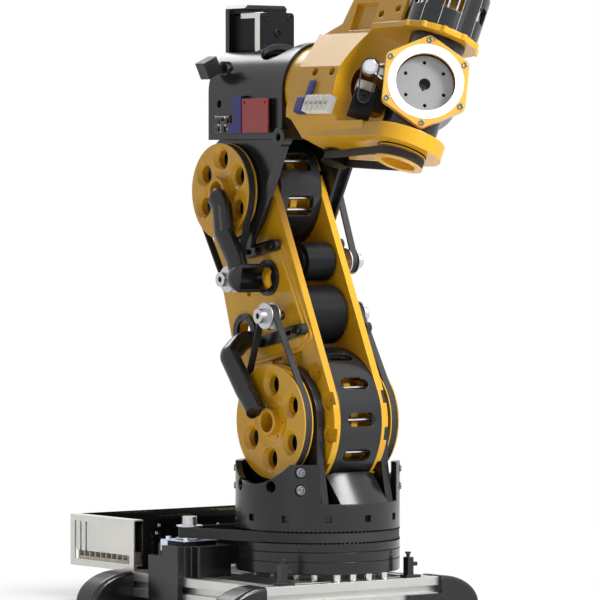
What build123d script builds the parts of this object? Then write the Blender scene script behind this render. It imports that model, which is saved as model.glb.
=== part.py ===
from build123d import *
import os
from math import acos, atan2, cos, degrees, hypot, radians, sin

# Desktop robot arm with six axes. Millimetres, +Z up, +X to the front of the arm.
# The origin is on the yaw axis at the surface that the feet stand on.

# Clearances
run_gap = 0.4
face_gap = 0.3
fit_gap = 0.05

# Frame of slotted aluminium beams and its feet
beam = 25.0
beam_slot = 7.0
beam_slot_depth = 6.0
beam_bore = 2.5
frame_top = 30.0
frame_front = 84.0
frame_back = -172.0
frame_left = -130.0
frame_right = 92.0
foot_length = 50.0
foot_overlap = 5.0
foot_tab = 42.0
foot_tab_height = 13.0

# Power supply on the back of the frame
supply_width = 116.0
supply_length = 215.0
supply_height = 53.0
supply_near_x = -148.0
supply_left_y = -126.0
sheet = 1.5
supply_lip = 12.0
supply_vent = 32.0
supply_vent_pitch = 10.0
supply_vent_inset = 9.0
supply_comb_low = 7.0
supply_comb_high = 16.0
supply_ways = 9

# Yaw base drum, bearing and turret
drum_radius = 84.0
standoff_height = 7.0
base_ring_height = 12.6
bearing_ring_height = 9.8
pulley_ring_height = 20.4
belt_band_height = 11.2
turret_height = 68.0
turret_wall = 7.0
turret_cut_z = 108.0
turret_cut_half = 48.0
turret_panel_half = 30.0
turret_hole_z = 125.0
turret_hole_angles = (-106.3, -71.4, 71.4, 106.3)
turret_windows = 12
turret_window_z = 93.0
turret_screw = 5.0
turret_screw_angles = (49.0, -49.0, 131.0, -131.0)
turret_screw_rows = (122.0, 140.0)
turret_floor = 8.0
base_bore = 22.0
standoff_radius = 4.0
race_outer = drum_radius - 10.0
race_inner = drum_radius - 22.0
ball_radius = 2.4
ball_count = 24
hook_left_y = -100.0
hook_right_y = 60.0
hook_height = 24.0

# Yaw motor beside the drum, and its holder
yaw_motor_x = -81.0
yaw_motor_y = -103.0
yaw_motor_side = 42.3
yaw_motor_length = 35.0
yaw_face_z = 66.0
holder_wall = 4.5
holder_step = 4.0
holder_reach = 12.0
holder_leg = 6.0
holder_notch = -2.0
holder_notch_depth = 15.0
yaw_groove = drum_radius - 2.5

# Side play of the arm in the turret and the forearm housing, outwards from the middle
drum_half = 26.0
plate_thick = 8.0
ear_inner = 36.5
ear_thick = 8.5
pulley_face = 60.0

# Shoulder, lower arm and elbow
shoulder_z = 189.0
link_length = 249.0
link_lean = 20.5
shoulder_end = 73.0
elbow_end = 56.0
elbow_end_shift = -3.5
shoulder_drum_radius = 73.5
elbow_drum_radius = 60.0
drum_wall = 6.0
tube_radius = 13.5
tube_bore = 10.5
tube_out = 5.0
bearing_radius = 20.0
bearing_width = 7.0
turret_ear_radius = 59.0
core_gap = 6.0
rod_radius = 1.9
shoulder_windows = 12
shoulder_window = (34.0, 14.0, 6.9)
shoulder_window_start = -17.9
elbow_windows = 8
elbow_window = (32.0, 21.0, 3.0)
elbow_window_start = 10.2

# Belt drives
belt_thick = 2.0
belt_width = 7.4
shoulder_pulley_radius = 58.3
shoulder_pulley_width = 10.6
elbow_pulley_radius = 49.3
elbow_pulley_width = 11.8
pulley_flange = 1.3
flange_height = 2.6
pulley_hole = 8.9
pulley_hole_mouth = 13.0
pulley_hole_turn = 28.0
small_pulley_flange = 13.5
small_pulley_groove = 9.6
small_pulley_hub = 7.5
small_pulley_hub_length = 9.0
small_pulley_teeth = 18
motor_shaft = 3.0

# Places on the lower arm, across and along it from the shoulder
shoulder_motor_at = (28.1, 103.7)
elbow_motor_at = (-20.2, link_length - 88.8)
right_elbow_motor_at = (38.0, link_length - 91.0)
upper_duct_at = (19.9, link_length - 101.6)
lower_duct_at = (-36.3, 108.6)
shoulder_motor_radius = 30.0
elbow_motor_radius = 21.0
right_elbow_motor_radius = 20.0
right_elbow_motor_left = -14.0
motor_shaft_stop = 4.0
duct_radius = 18.5
duct_bore = 12.5
duct_screw = 1.1
rim_counterbore = 9.5
rim_screw_hole = 1.4
motor_counterbore = 3.6
motor_screw_edge = 48.0
plateau_height = 4.0
guide_radius = 10.5
guide_out = 72.5

# Forearm housing and roll axis
forearm_rise = 102.0
housing_back = -121.0
housing_front = 6.0
housing_half = 50.0
housing_wall = 6.0
housing_floor = 49.0
rear_bearing_radius = 26.0
rear_pulley_radius = 27.0
rear_belt_width = 8.0
rotor_radius = 37.5
front_hub_radius = 30.0
front_bearing_width = 10.0
housing_ear_radius = 56.0
roll_gap = 1.0
board_drop = 42.2
housing_window = (76.0, 54.0)
housing_window_x = -36.0
roll_shaft_radius = 20.0
roll_shaft_bore = 15.0
roll_motor_side = 42.3
roll_motor_length = 48.0
roll_motor_front = -68.4
roll_motor_rise = 61.0
bracket_thick = 6.0

# Forearm fork and wrist
wrist_x = 172.0
rest_roll = 22.7
rest_pitch = 34.3
fork_radius = 47.0
fork_top = 86.0
fork_gap_half = 51.0
fork_lower_thick = 16.0
fork_upper_thick = 6.0
fork_arm_radius = 39.5
fork_opening_radius = 81.0
wrist_drum_radius = 37.5
wrist_drum_height = 48.0
wrist_trunnion_radius = 22.0
wrist_belt_radius = 22.5
wrist_belt_low = -79.0
wrist_belt_width = 8.0
wrist_motor_x = 67.0
wrist_motor_radius = 14.0

# Hand and tool flange
hand_face = 31.0
hand_radius = 40.0
hand_back = -34.0
light_outer = 37.5
light_inner = 29.7
light_thick = 4.0
bezel_radius = 41.5
bezel_lobe = 5.5
bezel_thick = 9.0
flange_radius = 29.0
flange_recess = 12.0
flange_thick = 6.0
flange_hole = 1.8
flange_pcd = 43.5
flange_bore = 5.8
flange_bore_depth = 24.0
flange_holes = 6

elbow_x = -link_length * sin(radians(link_lean))
elbow_z = shoulder_z + link_length * cos(radians(link_lean))
forearm_z = elbow_z + forearm_rise
drum_bottom = frame_top + standoff_height
bearing_bottom = drum_bottom + base_ring_height
ring_bottom = bearing_bottom + bearing_ring_height
turret_bottom = ring_bottom + pulley_ring_height
turret_top = turret_bottom + turret_height
plate_outer = drum_half + plate_thick
ear_outer = ear_inner + ear_thick
roll_motor_back = roll_motor_front - roll_motor_length
roll_pulley_face = roll_motor_back - bracket_thick - run_gap
roll_belt_front = roll_pulley_face - pulley_flange - face_gap
bottom_up = (Align.CENTER, Align.CENTER, Align.MIN)

link_frame = Pos(0, 0, shoulder_z) * Rot(0, -link_lean, 0)
elbow_frame = Pos(elbow_x, 0, elbow_z)
roll_frame = Pos(0, 0, forearm_z) * Rot(-rest_roll, 0, 0)
hand_frame = roll_frame * Pos(wrist_x, 0, 0) * Rot(0, 0, -rest_pitch)


def post(radius, low, high, x=0.0, y=0.0):
    """A round solid along Z from low to high."""
    return Pos(x, y, low) * Cylinder(radius, high - low, align=bottom_up)


def bar_y(radius, low, high, x=0.0, z=0.0):
    """A round solid along Y from low to high."""
    return Pos(x, low, z) * Rot(-90, 0, 0) * Cylinder(radius, high - low, align=bottom_up)


def bar_x(radius, low, high, y=0.0, z=0.0):
    """A round solid along X from low to high."""
    return Pos(low, y, z) * Rot(0, 90, 0) * Cylinder(radius, high - low, align=bottom_up)


def block(x0, x1, y0, y1, z0, z1):
    """A box between two corners."""
    middle = Pos((x0 + x1) / 2, (y0 + y1) / 2, (z0 + z1) / 2)
    return middle * Box(x1 - x0, y1 - y0, z1 - z0)


def slab_y(sketch, low, high):
    """A sketch drawn in X and Z, made solid along Y from low to high."""
    return extrude(Plane.XZ.offset(-low) * sketch, -(high - low))


def hull_of_two(one, two):
    """The outline round two circles, each (x, z, radius)."""
    across = one[0] - two[0]
    along = one[1] - two[1]
    apart = hypot(across, along)
    turn = degrees(atan2(-along, -across))
    lean = degrees(acos((one[2] - two[2]) / apart))
    rim = []
    for (x, z, radius), sides in ((one, (-lean, lean)), (two, (lean, -lean))):
        for side in sides:
            angle = radians(turn + side)
            rim.append((x + radius * cos(angle), z + radius * sin(angle)))
    flat = make_face(Polyline(*rim, close=True))
    return flat + Pos(one[0], one[1]) * Circle(one[2]) + Pos(two[0], two[1]) * Circle(two[2])


def hull_of(circles):
    """The outline round two or more circles that stand round a convex shape."""
    if len(circles) == 2:
        return hull_of_two(*circles)
    outline = make_face(Polyline(*[(x, z) for x, z, radius in circles], close=True))
    for one, two in zip(circles, circles[1:] + circles[:1]):
        outline += hull_of_two(one, two)
    return outline


def group(*shapes):
    """Several separate solids in one node."""
    return Compound([solid for shape in shapes for solid in shape.solids()])


def both_sides(make):
    """A left piece at negative Y and its mirror image on the right."""
    left = make()
    return group(left, mirror(left, Plane.XZ))


def slot_y(length, width, low, high, x=0.0, z=0.0, turn=0.0):
    """A round-ended solid along Y, its long side turned from X towards Z by turn degrees."""
    return slab_y(Pos(x, z) * Rot(0, 0, turn) * SlotOverall(length, width), low, high)


def belt_loop(first, second, low, high):
    """A belt round two pulleys, each (x, z, radius of the groove), with its width along Y."""
    inner = [(x, z, radius + fit_gap) for x, z, radius in (first, second)]
    outer = [(x, z, radius + belt_thick) for x, z, radius in inner]
    return slab_y(hull_of(outer) - hull_of(inner), low, high)


def tube_run(points, radius, bend):
    """A round bent tube through the points, each bend an arc."""
    path = FilletPolyline(*points, radius=bend)
    return sweep(Plane(origin=path @ 0, z_dir=path % 0) * Circle(radius), path=path)


# Base: frame, feet and supply

def beam_along(length):
    """One slotted square beam along X, its middle at the origin."""
    profile = Rectangle(beam, beam) - Circle(beam_bore)
    edge = beam / 2 - beam_slot_depth / 2
    for turn in range(4):
        profile -= Rot(0, 0, 90 * turn) * Pos(edge, 0) * Rectangle(beam_slot_depth, beam_slot)
    return Rot(0, 90, 0) * extrude(profile, length / 2, both=True)


def make_frame_beams():
    """Front and back beams between the ends, side beams and two cross beams under the drum."""
    middle_z = frame_top - beam / 2
    across = frame_right - frame_left
    middle_y = (frame_left + frame_right) / 2
    cross = Rot(0, 0, 90) * beam_along(across)
    beams = [Pos(frame_front - beam / 2, middle_y, middle_z) * cross]
    beams.append(Pos(frame_back + beam / 2, middle_y, middle_z) * cross)
    inner_length = frame_front - frame_back - 2 * beam
    inner_x = (frame_front + frame_back) / 2
    side_places = (frame_left + beam / 2, frame_right - beam / 2)
    under_drum = (-drum_radius / 2, drum_radius / 2)
    for y in side_places + under_drum:
        beams.append(Pos(inner_x, y, middle_z) * beam_along(inner_length))
    return group(*beams)


def make_foot():
    """A domed end foot, its inner face on X = 0, its dome towards +X and its tab at -Y."""
    half = beam / 2 + foot_overlap
    profile = EllipticalCenterArc((0, 0), foot_length, frame_top + 1, arc_size=90)
    side = make_face([profile, Line(profile @ 1, (0, 0)), Line((0, 0), profile @ 0)])
    dome = slab_y(side, -half, half)
    dome = fillet(dome.edges().filter_by(GeomType.ELLIPSE), foot_overlap)
    tab = block(-foot_tab, 0, -half, -beam / 2 - fit_gap, 0, foot_tab_height)
    sole = block(-foot_tab, 0, -half, half, 0, frame_top - beam - fit_gap)
    return dome + tab + sole


def make_corner_feet():
    """Four feet: two on the ends of the front beam and two on the ends of the back beam."""
    foot = make_foot()
    other = mirror(foot, Plane.XZ)
    feet = []
    for x, left, right in ((frame_front - beam / 2, other, foot), (frame_back + beam / 2, foot, other)):
        feet.append(Pos(x, frame_left, 0) * Rot(0, 0, -90) * left)
        feet.append(Pos(x, frame_right, 0) * Rot(0, 0, 90) * right)
    return group(*feet)


def make_supply_case():
    """Folded silver sheet tray of the power supply, with an end plate of vents and a terminal slot."""
    x1 = supply_near_x
    x0 = x1 - supply_width
    y0 = supply_left_y
    y1 = y0 + supply_length
    z0 = frame_top
    z1 = z0 + supply_height
    case = block(x0, x1, y0, y1, z0, z0 + sheet)
    case += block(x0, x1, y0, y0 + sheet, z0, z1)
    case += block(x0, x1, y1 - sheet, y1, z0, z1)
    case += block(x0, x1, y0, y0 + supply_lip, z1 - sheet, z1)
    for step in range(3):
        vent_x = x0 + supply_vent_inset + supply_vent_pitch * step
        vent = Pos(vent_x, y0, z0 + supply_height * 0.58) * Rot(90, 0, 0)
        case -= vent * extrude(SlotOverall(supply_vent, 3, 90), 5, both=True)
    case -= block(x0 + 8, x1 - 8, y0 - 1, y0 + 3, z0 + supply_comb_low, z0 + supply_comb_high)
    return case


def make_supply_cover():
    """Black folded cover over the top and the long sides, with vents in the near side."""
    x1 = supply_near_x
    x0 = x1 - supply_width
    y0 = supply_left_y + supply_lip
    y1 = supply_left_y + supply_length - sheet - fit_gap
    z0 = frame_top + sheet
    z1 = frame_top + supply_height
    cover = block(x0, x1, y0, y1, z1 - sheet, z1)
    cover += block(x1 - sheet, x1, y0, y1, z0, z1)
    cover += block(x0, x0 + sheet, y0, y1, z0, z1)
    for step in range(3):
        vent = Pos(x1, y0 + 12 + supply_vent_pitch * step, z0 + supply_height * 0.4) * Rot(0, 90, 0)
        cover -= vent * extrude(SlotOverall(supply_vent, 3), 5, both=True)
    return cover


def make_supply_board():
    """Circuit board of the supply with its terminal strip, capacitors, transformer and heat sink."""
    x0 = supply_near_x - supply_width + 12
    x1 = supply_near_x - 12
    y0 = supply_left_y + sheet + face_gap
    z0 = frame_top + sheet
    board_top = z0 + 4.6
    strip = block(x0, x1, y0, y0 + 18, board_top, z0 + 9)
    pitch = (x1 - x0 - 2) / supply_ways
    for step in range(supply_ways + 1):
        wall = x0 + pitch * step
        strip += block(wall, wall + 2, y0, y0 + 16, z0 + 9, z0 + 17)
    board = block(x0 - 6, x1 + 6, y0, y0 + supply_length - 12, board_top - 1.6, board_top)
    posts = [post(3, z0, board_top - 1.6, x, y) for x in (x0, x1) for y in (y0 + 8, y0 + supply_length - 20)]
    cans = [post(11, board_top, board_top + 34, x0 + 14, y0 + 50 + 26 * step) for step in range(3)]
    transformer = block(x0 + 34, x1 - 18, y0 + 70, y0 + 112, board_top, board_top + 32)
    sink = block(x1 - 8, x1 - 5, y0 + 40, y0 + 170, board_top, board_top + 38)
    coil = Pos((x0 + x1) / 2, y0 + 150, board_top + 7.5) * Torus(15, 8)
    shape = board + strip + transformer + sink + coil
    for part in posts + cans:
        shape += part
    return shape


def make_base_plate():
    """Bottom ring of the yaw drum with its floor, on the standoffs."""
    ring = post(drum_radius, drum_bottom, bearing_bottom) - post(base_bore, 0, turret_top)
    inner = drum_radius - turret_wall * 2
    ring -= post(inner, drum_bottom + turret_floor, bearing_bottom + 1)
    return chamfer(ring.faces().sort_by(Axis.Z)[0].outer_wire().edges(), 1.0)


def make_base_ring():
    """Fixed outer ring above the base plate, which holds the outer race."""
    outer = post(drum_radius, bearing_bottom, ring_bottom)
    return outer - post(race_outer + fit_gap, bearing_bottom - 1, ring_bottom + 1)


def make_yaw_bearing():
    """Thin slewing bearing: outer and inner race with a row of balls between."""
    low = bearing_bottom + face_gap
    high = ring_bottom - face_gap
    middle = (low + high) / 2
    pitch = (race_outer + race_inner) / 2
    groove = Pos(0, 0, middle) * Torus(pitch, ball_radius + fit_gap)
    outer = post(race_outer, low, high) - post(pitch + 1, 0, turret_top) - groove
    inner = post(pitch - 1, low, high) - post(race_inner, 0, turret_top) - groove
    balls = [Pos(0, 0, middle) * place * Sphere(ball_radius) for place in PolarLocations(pitch, ball_count)]
    return group(outer, inner, *balls)


def make_base_standoffs():
    """Steel standoffs between the beams and the drum."""
    studs = []
    for side in (-1, 1):
        for along in (-50.0, -20.0, 20.0, 50.0):
            studs.append(post(standoff_radius, frame_top, drum_bottom, along, side * drum_radius / 2))
    for across in (-30.0, -10.0, 10.0, 30.0):
        studs.append(post(standoff_radius, frame_top, drum_bottom, frame_front - beam / 2, across))
    return group(*studs)


def make_cable_hooks():
    """Two small hooked posts on the front beam that hold cables down."""
    hooks = []
    for y in (hook_left_y, hook_right_y):
        foot = block(-6, 6, -9, 9, 0, 3)
        stem = block(-4, 4, -6, 1, 2, hook_height - 3)
        hook = block(-4, 4, -3, 6, hook_height - 12, hook_height - 8)
        cap = post(2, hook_height - 4, hook_height + 1, 0, -3) + post(3, hook_height + 0.5, hook_height + 2.5, 0, -3)
        hooks.append(Pos(frame_front - 7, y, frame_top) * (foot + stem + hook + cap))
    return group(*hooks)


def make_stepper(length, side):
    """A square stepper motor with its mounting face at Z = 0 and its narrower stack below."""
    body = extrude(RectangleRounded(side, side, side * 0.1), -length)
    cap = side * 0.22
    waist = Rectangle(side + 2, side + 2) - RectangleRounded(side - 1, side - 1, side * 0.08)
    return body - Pos(0, 0, -cap) * extrude(waist, -(length - 2 * cap))


def make_yaw_motor():
    """Stepper beside the drum, its face up and its connector towards the back."""
    motor = make_stepper(yaw_motor_length, yaw_motor_side)
    half = yaw_motor_side / 2
    motor += block(-half - 6, -half, -8, 8, -12, -1)
    return Pos(yaw_motor_x, yaw_motor_y, yaw_face_z) * motor


def make_yaw_holder():
    """Black printed holder: a box round the motor on the side beam, open at its outer top, with an outer leg."""
    half = yaw_motor_side / 2 + face_gap
    out = half + holder_wall
    low = frame_top - yaw_face_z
    shell = block(-out, out, -out, out, low + fit_gap, -holder_step)
    shell += block(out - 1, out + holder_reach, -out + 10, out, low + fit_gap, -holder_step)
    shell = fillet(shell.edges().filter_by(Axis.Z), 2)
    shell -= block(-half, half, -half, half, low + 1, 1)
    shell -= block(-out - 1, -half + 1, -9, 9, -14, 1)
    foot = frame_left - yaw_motor_y - face_gap
    leg = block(-out, out, foot - holder_leg, foot, 1 - yaw_face_z, -holder_step)
    leg += block(-out, out, foot - 1, -out, low + fit_gap, -holder_step)
    holder = shell + leg
    holder -= block(-out - 1, holder_notch, foot - holder_leg - 1, 1 - half, -holder_notch_depth, 1)
    return Pos(yaw_motor_x, yaw_motor_y, yaw_face_z) * holder


def make_small_pulley(width, hub_length):
    """Toothed motor pulley along +Z with two flanges and a hub, its bore open right through."""
    depth = 0.8
    core = Circle(small_pulley_groove)
    for place in PolarLocations(small_pulley_groove, small_pulley_teeth):
        core -= place * Rectangle(2 * depth, depth)
    pulley = extrude(core, width + 2 * pulley_flange)
    pulley += post(small_pulley_flange, 0, pulley_flange)
    pulley += post(small_pulley_flange, width + pulley_flange, width + 2 * pulley_flange)
    pulley += post(small_pulley_hub, 0, width + 2 * pulley_flange + hub_length)
    return pulley - post(motor_shaft + fit_gap, -1, width + hub_length + 10)


def make_yaw_drive_pulley():
    """Pulley on the yaw motor, its hub upwards."""
    low = turret_bottom - belt_band_height - pulley_flange
    pulley = make_small_pulley(belt_band_height, small_pulley_hub_length)
    shaft = post(motor_shaft, yaw_face_z + face_gap, turret_bottom + 1)
    return Pos(yaw_motor_x, yaw_motor_y, 0) * (Pos(0, 0, low) * pulley + shaft)


def make_yaw_belt():
    """Belt from the yaw pulley round the turret's pulley ring."""
    inner = []
    for x, y, radius in ((0, 0, yaw_groove), (yaw_motor_x, yaw_motor_y, small_pulley_groove)):
        inner.append((x, y, radius + fit_gap))
    outer = [(x, y, radius + belt_thick) for x, y, radius in inner]
    low = turret_bottom - belt_band_height + face_gap
    return Pos(0, 0, low) * extrude(hull_of(outer) - hull_of(inner), belt_band_height - 2 * face_gap)


# Turret

def make_turret_pulley():
    """Turning ring under the turret, with the groove that the yaw belt runs in."""
    low = ring_bottom + run_gap
    ring = post(drum_radius, low, turret_bottom)
    ring -= post(drum_radius + 1, turret_bottom - belt_band_height, turret_bottom + 1)
    ring += post(yaw_groove, low, turret_bottom)
    ring += post(race_inner - fit_gap, bearing_bottom + face_gap, low)
    return ring - post(base_bore, 0, turret_top)


def turret_ear():
    """The left upright: round about the shoulder, widening down into the drum."""
    outline = hull_of([(0, shoulder_z, turret_ear_radius), (-56, turret_top, 3), (56, turret_top, 3)])
    base = Polyline((-59, turret_top), (-67, 108), (-67, turret_bottom), (67, turret_bottom), (67, 108),
                    (59, turret_top), close=True)
    return slab_y(outline + make_face(base), -ear_outer, -ear_inner)


def make_turret_housing():
    """Turret drum with a floor, two uprights, pulley scoops, a front opening and a sloped panel."""
    drum = post(drum_radius, turret_bottom, turret_top)
    drum -= post(drum_radius - turret_wall, turret_bottom + turret_floor, turret_top + 1)
    drum -= post(base_bore, 0, turret_top)
    drum -= block(40, drum_radius + 1, -turret_cut_half, turret_cut_half, turret_cut_z, turret_top + 1)
    ear = turret_ear()
    drum += ear + mirror(ear, Plane.XZ)
    scoop = bar_y(shoulder_pulley_radius + 4, ear_outer, drum_radius + 1, 0, shoulder_z)
    drum -= scoop + mirror(scoop, Plane.XZ)
    panel = Polyline((83.5, 0, turret_cut_z), (59, 0, 138.5), (55, 0, 136), (77, 0, turret_cut_z - 4),
                     (83.5, 0, turret_cut_z - 4), close=True)
    cowl = revolve(make_face(panel), Axis.Z)
    cowl -= bar_y(shoulder_end + 2, -drum_radius, drum_radius, 0, shoulder_z)
    drum += cowl & block(30, drum_radius, -turret_panel_half, turret_panel_half, 0, turret_top)
    for angle in turret_hole_angles:
        drum -= Rot(0, 0, angle) * bar_x(6, 60, drum_radius + 1, 0, turret_hole_z)
    for place in PolarLocations(drum_radius, turret_windows):
        drum -= place * Pos(0, 0, turret_window_z) * Box(10, 8, 7)
    for angle in turret_screw_angles:
        for z in turret_screw_rows:
            drum -= Rot(0, 0, angle) * bar_x(turret_screw + 1, drum_radius - 3, drum_radius + 2, 0, z)
    drum -= bar_y(tube_radius + fit_gap, -ear_outer - 1, ear_outer + 1, 0, shoulder_z)
    return drum


def big_pulley(radius, width, groove, hub_inner):
    """A wide belt pulley on the left side, its dished face at -pulley_face, with six coned holes."""
    profile = Circle(radius)
    inner = -pulley_face + width
    pulley = slab_y(profile, -pulley_face, inner)
    ring = slab_y(Circle(radius + 1) - Circle(groove), -pulley_face + pulley_flange, inner - pulley_flange)
    pulley -= ring
    dish = Pos(0, -pulley_face, 0) * Rot(-90, 0, 0) * Cone(bearing_radius + 8, bearing_radius, 3, align=bottom_up)
    pulley -= dish
    pulley += bar_y(bearing_radius - 1, inner, hub_inner)
    hole_ring = (groove + bearing_radius) / 2
    for place in PolarLocations(hole_ring, 6, pulley_hole_turn):
        at = place.position
        pulley -= bar_y(pulley_hole, -pulley_face - 1, inner + 1, at.X, at.Y)
        mouth = Rot(-90, 0, 0) * Cone(pulley_hole_mouth, pulley_hole, 4.5, align=bottom_up)
        pulley -= Pos(at.X, -pulley_face, at.Y) * mouth
    for angle in range(0, 360, 60):
        x = (tube_radius + 3) * cos(radians(angle))
        z = (tube_radius + 3) * sin(radians(angle))
        pulley -= bar_y(1.2, -pulley_face - 1, -pulley_face + 7, x, z)
    return pulley - bar_y(tube_radius + fit_gap, -pulley_face - 1, 0)


def make_shoulder_pulleys():
    """Shoulder pulleys, fixed to the outside of the two uprights."""
    groove = shoulder_pulley_radius - flange_height
    return both_sides(lambda: big_pulley(shoulder_pulley_radius, shoulder_pulley_width, groove, -ear_outer))


def make_elbow_pulleys():
    """Elbow pulleys, fixed to the outside of the forearm housing's cheeks."""
    groove = elbow_pulley_radius - flange_height
    return both_sides(lambda: big_pulley(elbow_pulley_radius, elbow_pulley_width, groove, -ear_outer))


def make_joint_tube():
    """Hollow tube through a joint, which cables pass through; it stands out of both pulleys."""
    end = pulley_face + tube_out
    return slab_y(Circle(tube_radius) - Circle(tube_bore), -end, end)


# Lower arm, drawn from the shoulder with +Z along the link

def make_side_plate(elbow_at, cable_holes):
    """Left side plate with its raised motor pad, bearing seats and screw counterbores."""
    outline = hull_of([(0, 0, shoulder_end), (elbow_end_shift, link_length, elbow_end)])
    plate = slab_y(outline, -plate_outer, -drum_half)
    pad = make_face(Polyline((-62, 76), (40, 60), (66, 66), (50, 177), (-50, 184), close=True))
    step = slab_y(fillet(pad.vertices(), 7), -plate_outer - plateau_height / 2, -plate_outer)
    plate += chamfer(step.faces().sort_by(Axis.Y)[0].edges(), 1.2)
    raised = fillet(offset(pad, -4).vertices(), 6)
    raised = slab_y(raised, -plate_outer - plateau_height, -plate_outer - plateau_height / 2)
    plate += chamfer(raised.faces().sort_by(Axis.Y)[0].edges(), 1.2)
    for x, z in rim_screw_places():
        plate -= bar_y(rim_counterbore, -plate_outer - 1, -plate_outer + 4, x, z)
        plate -= bar_y(rim_screw_hole, -plate_outer, 0, x, z)
    for x, z in motor_screw_places(elbow_at):
        plate -= bar_y(motor_counterbore, -plate_outer - 9, -plate_outer + 1, x, z)
        plate -= bar_y(rim_screw_hole, -plate_outer, 0, x, z)
    for x, z in (shoulder_motor_at, elbow_at):
        plate -= bar_y(motor_shaft + 2, -plate_outer - 9, 0, x, z)
    for x, z in cable_holes:
        plate -= bar_y(duct_bore, -plate_outer - 9, 0, x, z)
    for z in (0, link_length):
        plate -= bar_y(bearing_radius + fit_gap, -plate_outer - 9, 0, 0, z)
    return plate


def rim_screw_places():
    """Screws inside a side plate's two round ends."""
    places = []
    reach = shoulder_end - 7
    for angle in range(-60, 241, 30):
        places.append((reach * cos(radians(angle)), reach * sin(radians(angle))))
    reach = elbow_end - 9
    for angle in range(0, 181, 45):
        x = elbow_end_shift + reach * cos(radians(angle))
        places.append((x, link_length + reach * sin(radians(angle))))
    return places


def motor_screw_places(elbow_at):
    """Screws round the two motors, where the cable holes leave room."""
    places = []
    for (x, z), reach in ((shoulder_motor_at, 24.0), (elbow_at, 16.5)):
        for angle in (-80, 10, 100, 190):
            place = (x + reach * cos(radians(angle)), z + reach * sin(radians(angle)))
            ducts = (upper_duct_at, lower_duct_at)
            clear = min(hypot(place[0] - duct[0], place[1] - duct[1]) for duct in ducts)
            if clear > duct_radius + 5 and place[0] < motor_screw_edge:
                places.append(place)
    return places


def make_drum(radius, windows, wide, high, corner, start):
    """Spacer drum between the plates: a ring with round-cornered windows through its wall."""
    half = drum_half - fit_gap
    drum = slab_y(Circle(radius) - Circle(radius - drum_wall), -half, half)
    for step in range(windows):
        angle = start + 360 / windows * step
        cutter = Rot(0, 90, 0) * extrude(RectangleRounded(high, wide, corner), 2 * drum_wall)
        cutter = Pos(radius - 1.5 * drum_wall, 0, 0) * cutter
        drum -= Rot(0, -angle, 0) * cutter
    return drum


def make_drum_core(radius):
    """Yellow spool inside a drum, notched behind each window."""
    outer = radius - drum_wall - core_gap
    half = drum_half - fit_gap
    core = slab_y(Circle(outer) - Circle(tube_radius + 4), -half, half)
    core -= slab_y(Circle(outer + 1) - Circle(outer - 7), -half + 6, -4)
    core -= slab_y(Circle(outer + 1) - Circle(outer - 7), 4, half - 6)
    return core


def make_drum_cores():
    """The spools of both drums."""
    lower = make_drum_core(shoulder_drum_radius)
    return group(lower, Pos(0, 0, link_length) * make_drum_core(elbow_drum_radius))


def window_rods(radius, windows, start, spread):
    """Steel rods behind a drum's windows, from plate to plate."""
    half = drum_half - face_gap
    reach = radius - drum_wall - core_gap / 2
    rods = []
    for step in range(windows):
        for side in (-spread, spread) if spread else (0,):
            angle = radians(start + side + 360 / windows * step)
            rods.append(bar_y(rod_radius, -half, half, reach * cos(angle), reach * sin(angle)))
    return rods


def make_drum_rods():
    """The rods of both drums: one behind each shoulder window, two behind each elbow window."""
    rods = window_rods(shoulder_drum_radius, shoulder_windows, shoulder_window_start, 0)
    for rod in window_rods(elbow_drum_radius, elbow_windows, elbow_window_start, 7):
        rods.append(Pos(0, 0, link_length) * rod)
    return group(*rods)


def make_arm_motor(at, radius, low, high):
    """A round motor across the arm, with a shallow step at each end and a bore for its shaft."""
    half = drum_half - face_gap
    motor = bar_y(radius, low + 3, high - 3, *at) + bar_y(radius - 5, low, high, *at)
    left = -half - 1 if low == -half else low + motor_shaft_stop
    right = half + 1 if at != elbow_motor_at else high - motor_shaft_stop
    return motor - bar_y(motor_shaft + fit_gap, left, right, *at)


def make_arm_motors():
    """The shoulder motor and the two elbow motors, across the arm between the plates."""
    half = drum_half - face_gap
    shoulder = make_arm_motor(shoulder_motor_at, shoulder_motor_radius, -half, half)
    left = make_arm_motor(elbow_motor_at, elbow_motor_radius, -half, half)
    right = make_arm_motor(right_elbow_motor_at, right_elbow_motor_radius, right_elbow_motor_left, half)
    return group(shoulder, left, right)


def cable_guide(at, points, hub, open_towards):
    """A printed guide: a screwed ring round a plate's cable hole, a half-open elbow out of it, and a bent
    arm outside the pulley that ends in a cut round the joint tube."""
    out = plate_outer + plateau_height
    mouth = duct_bore + 2
    ring = bar_y(duct_radius, -out - 3, -out - fit_gap, *at)
    for angle in range(0, 360, 45):
        x = at[0] + (duct_radius - 2.6) * cos(radians(angle))
        z = at[1] + (duct_radius - 2.6) * sin(radians(angle))
        ring -= bar_y(duct_screw, -out - 4, 0, x, z)
    start = points[0]
    elbow = bar_y(mouth, -guide_out, -out - 3, *at) + Pos(at[0], -guide_out, at[1]) * Sphere(mouth)
    if start != at:
        elbow = bar_y(guide_radius, -out - 8, -out - 3, *start)
    run = [(start[0], -guide_out if start == at else -out - 6, start[1])]
    run += [(x, -guide_out, z) for x, z in points[1:]]
    arm = tube_run(run, guide_radius, 8) + Pos(*run[-1]) * Sphere(guide_radius)
    opening = Pos(at[0], -out - 3, at[1]) * Rot(0, -open_towards, 0) * block(3, 40, -60, 0, -20, 20)
    guide = ring + elbow + arm
    guide -= opening & bar_y(mouth + 1, -guide_out - 20, -out - 3, *at)
    guide -= bar_y(duct_bore - 1, -guide_out - 2, 0, *at)
    guide -= block(-90, 90, -out - fit_gap, 0, -20, link_length + 60)
    return guide - bar_y(tube_radius + 1, -guide_out - 20, 0, *hub)


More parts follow.
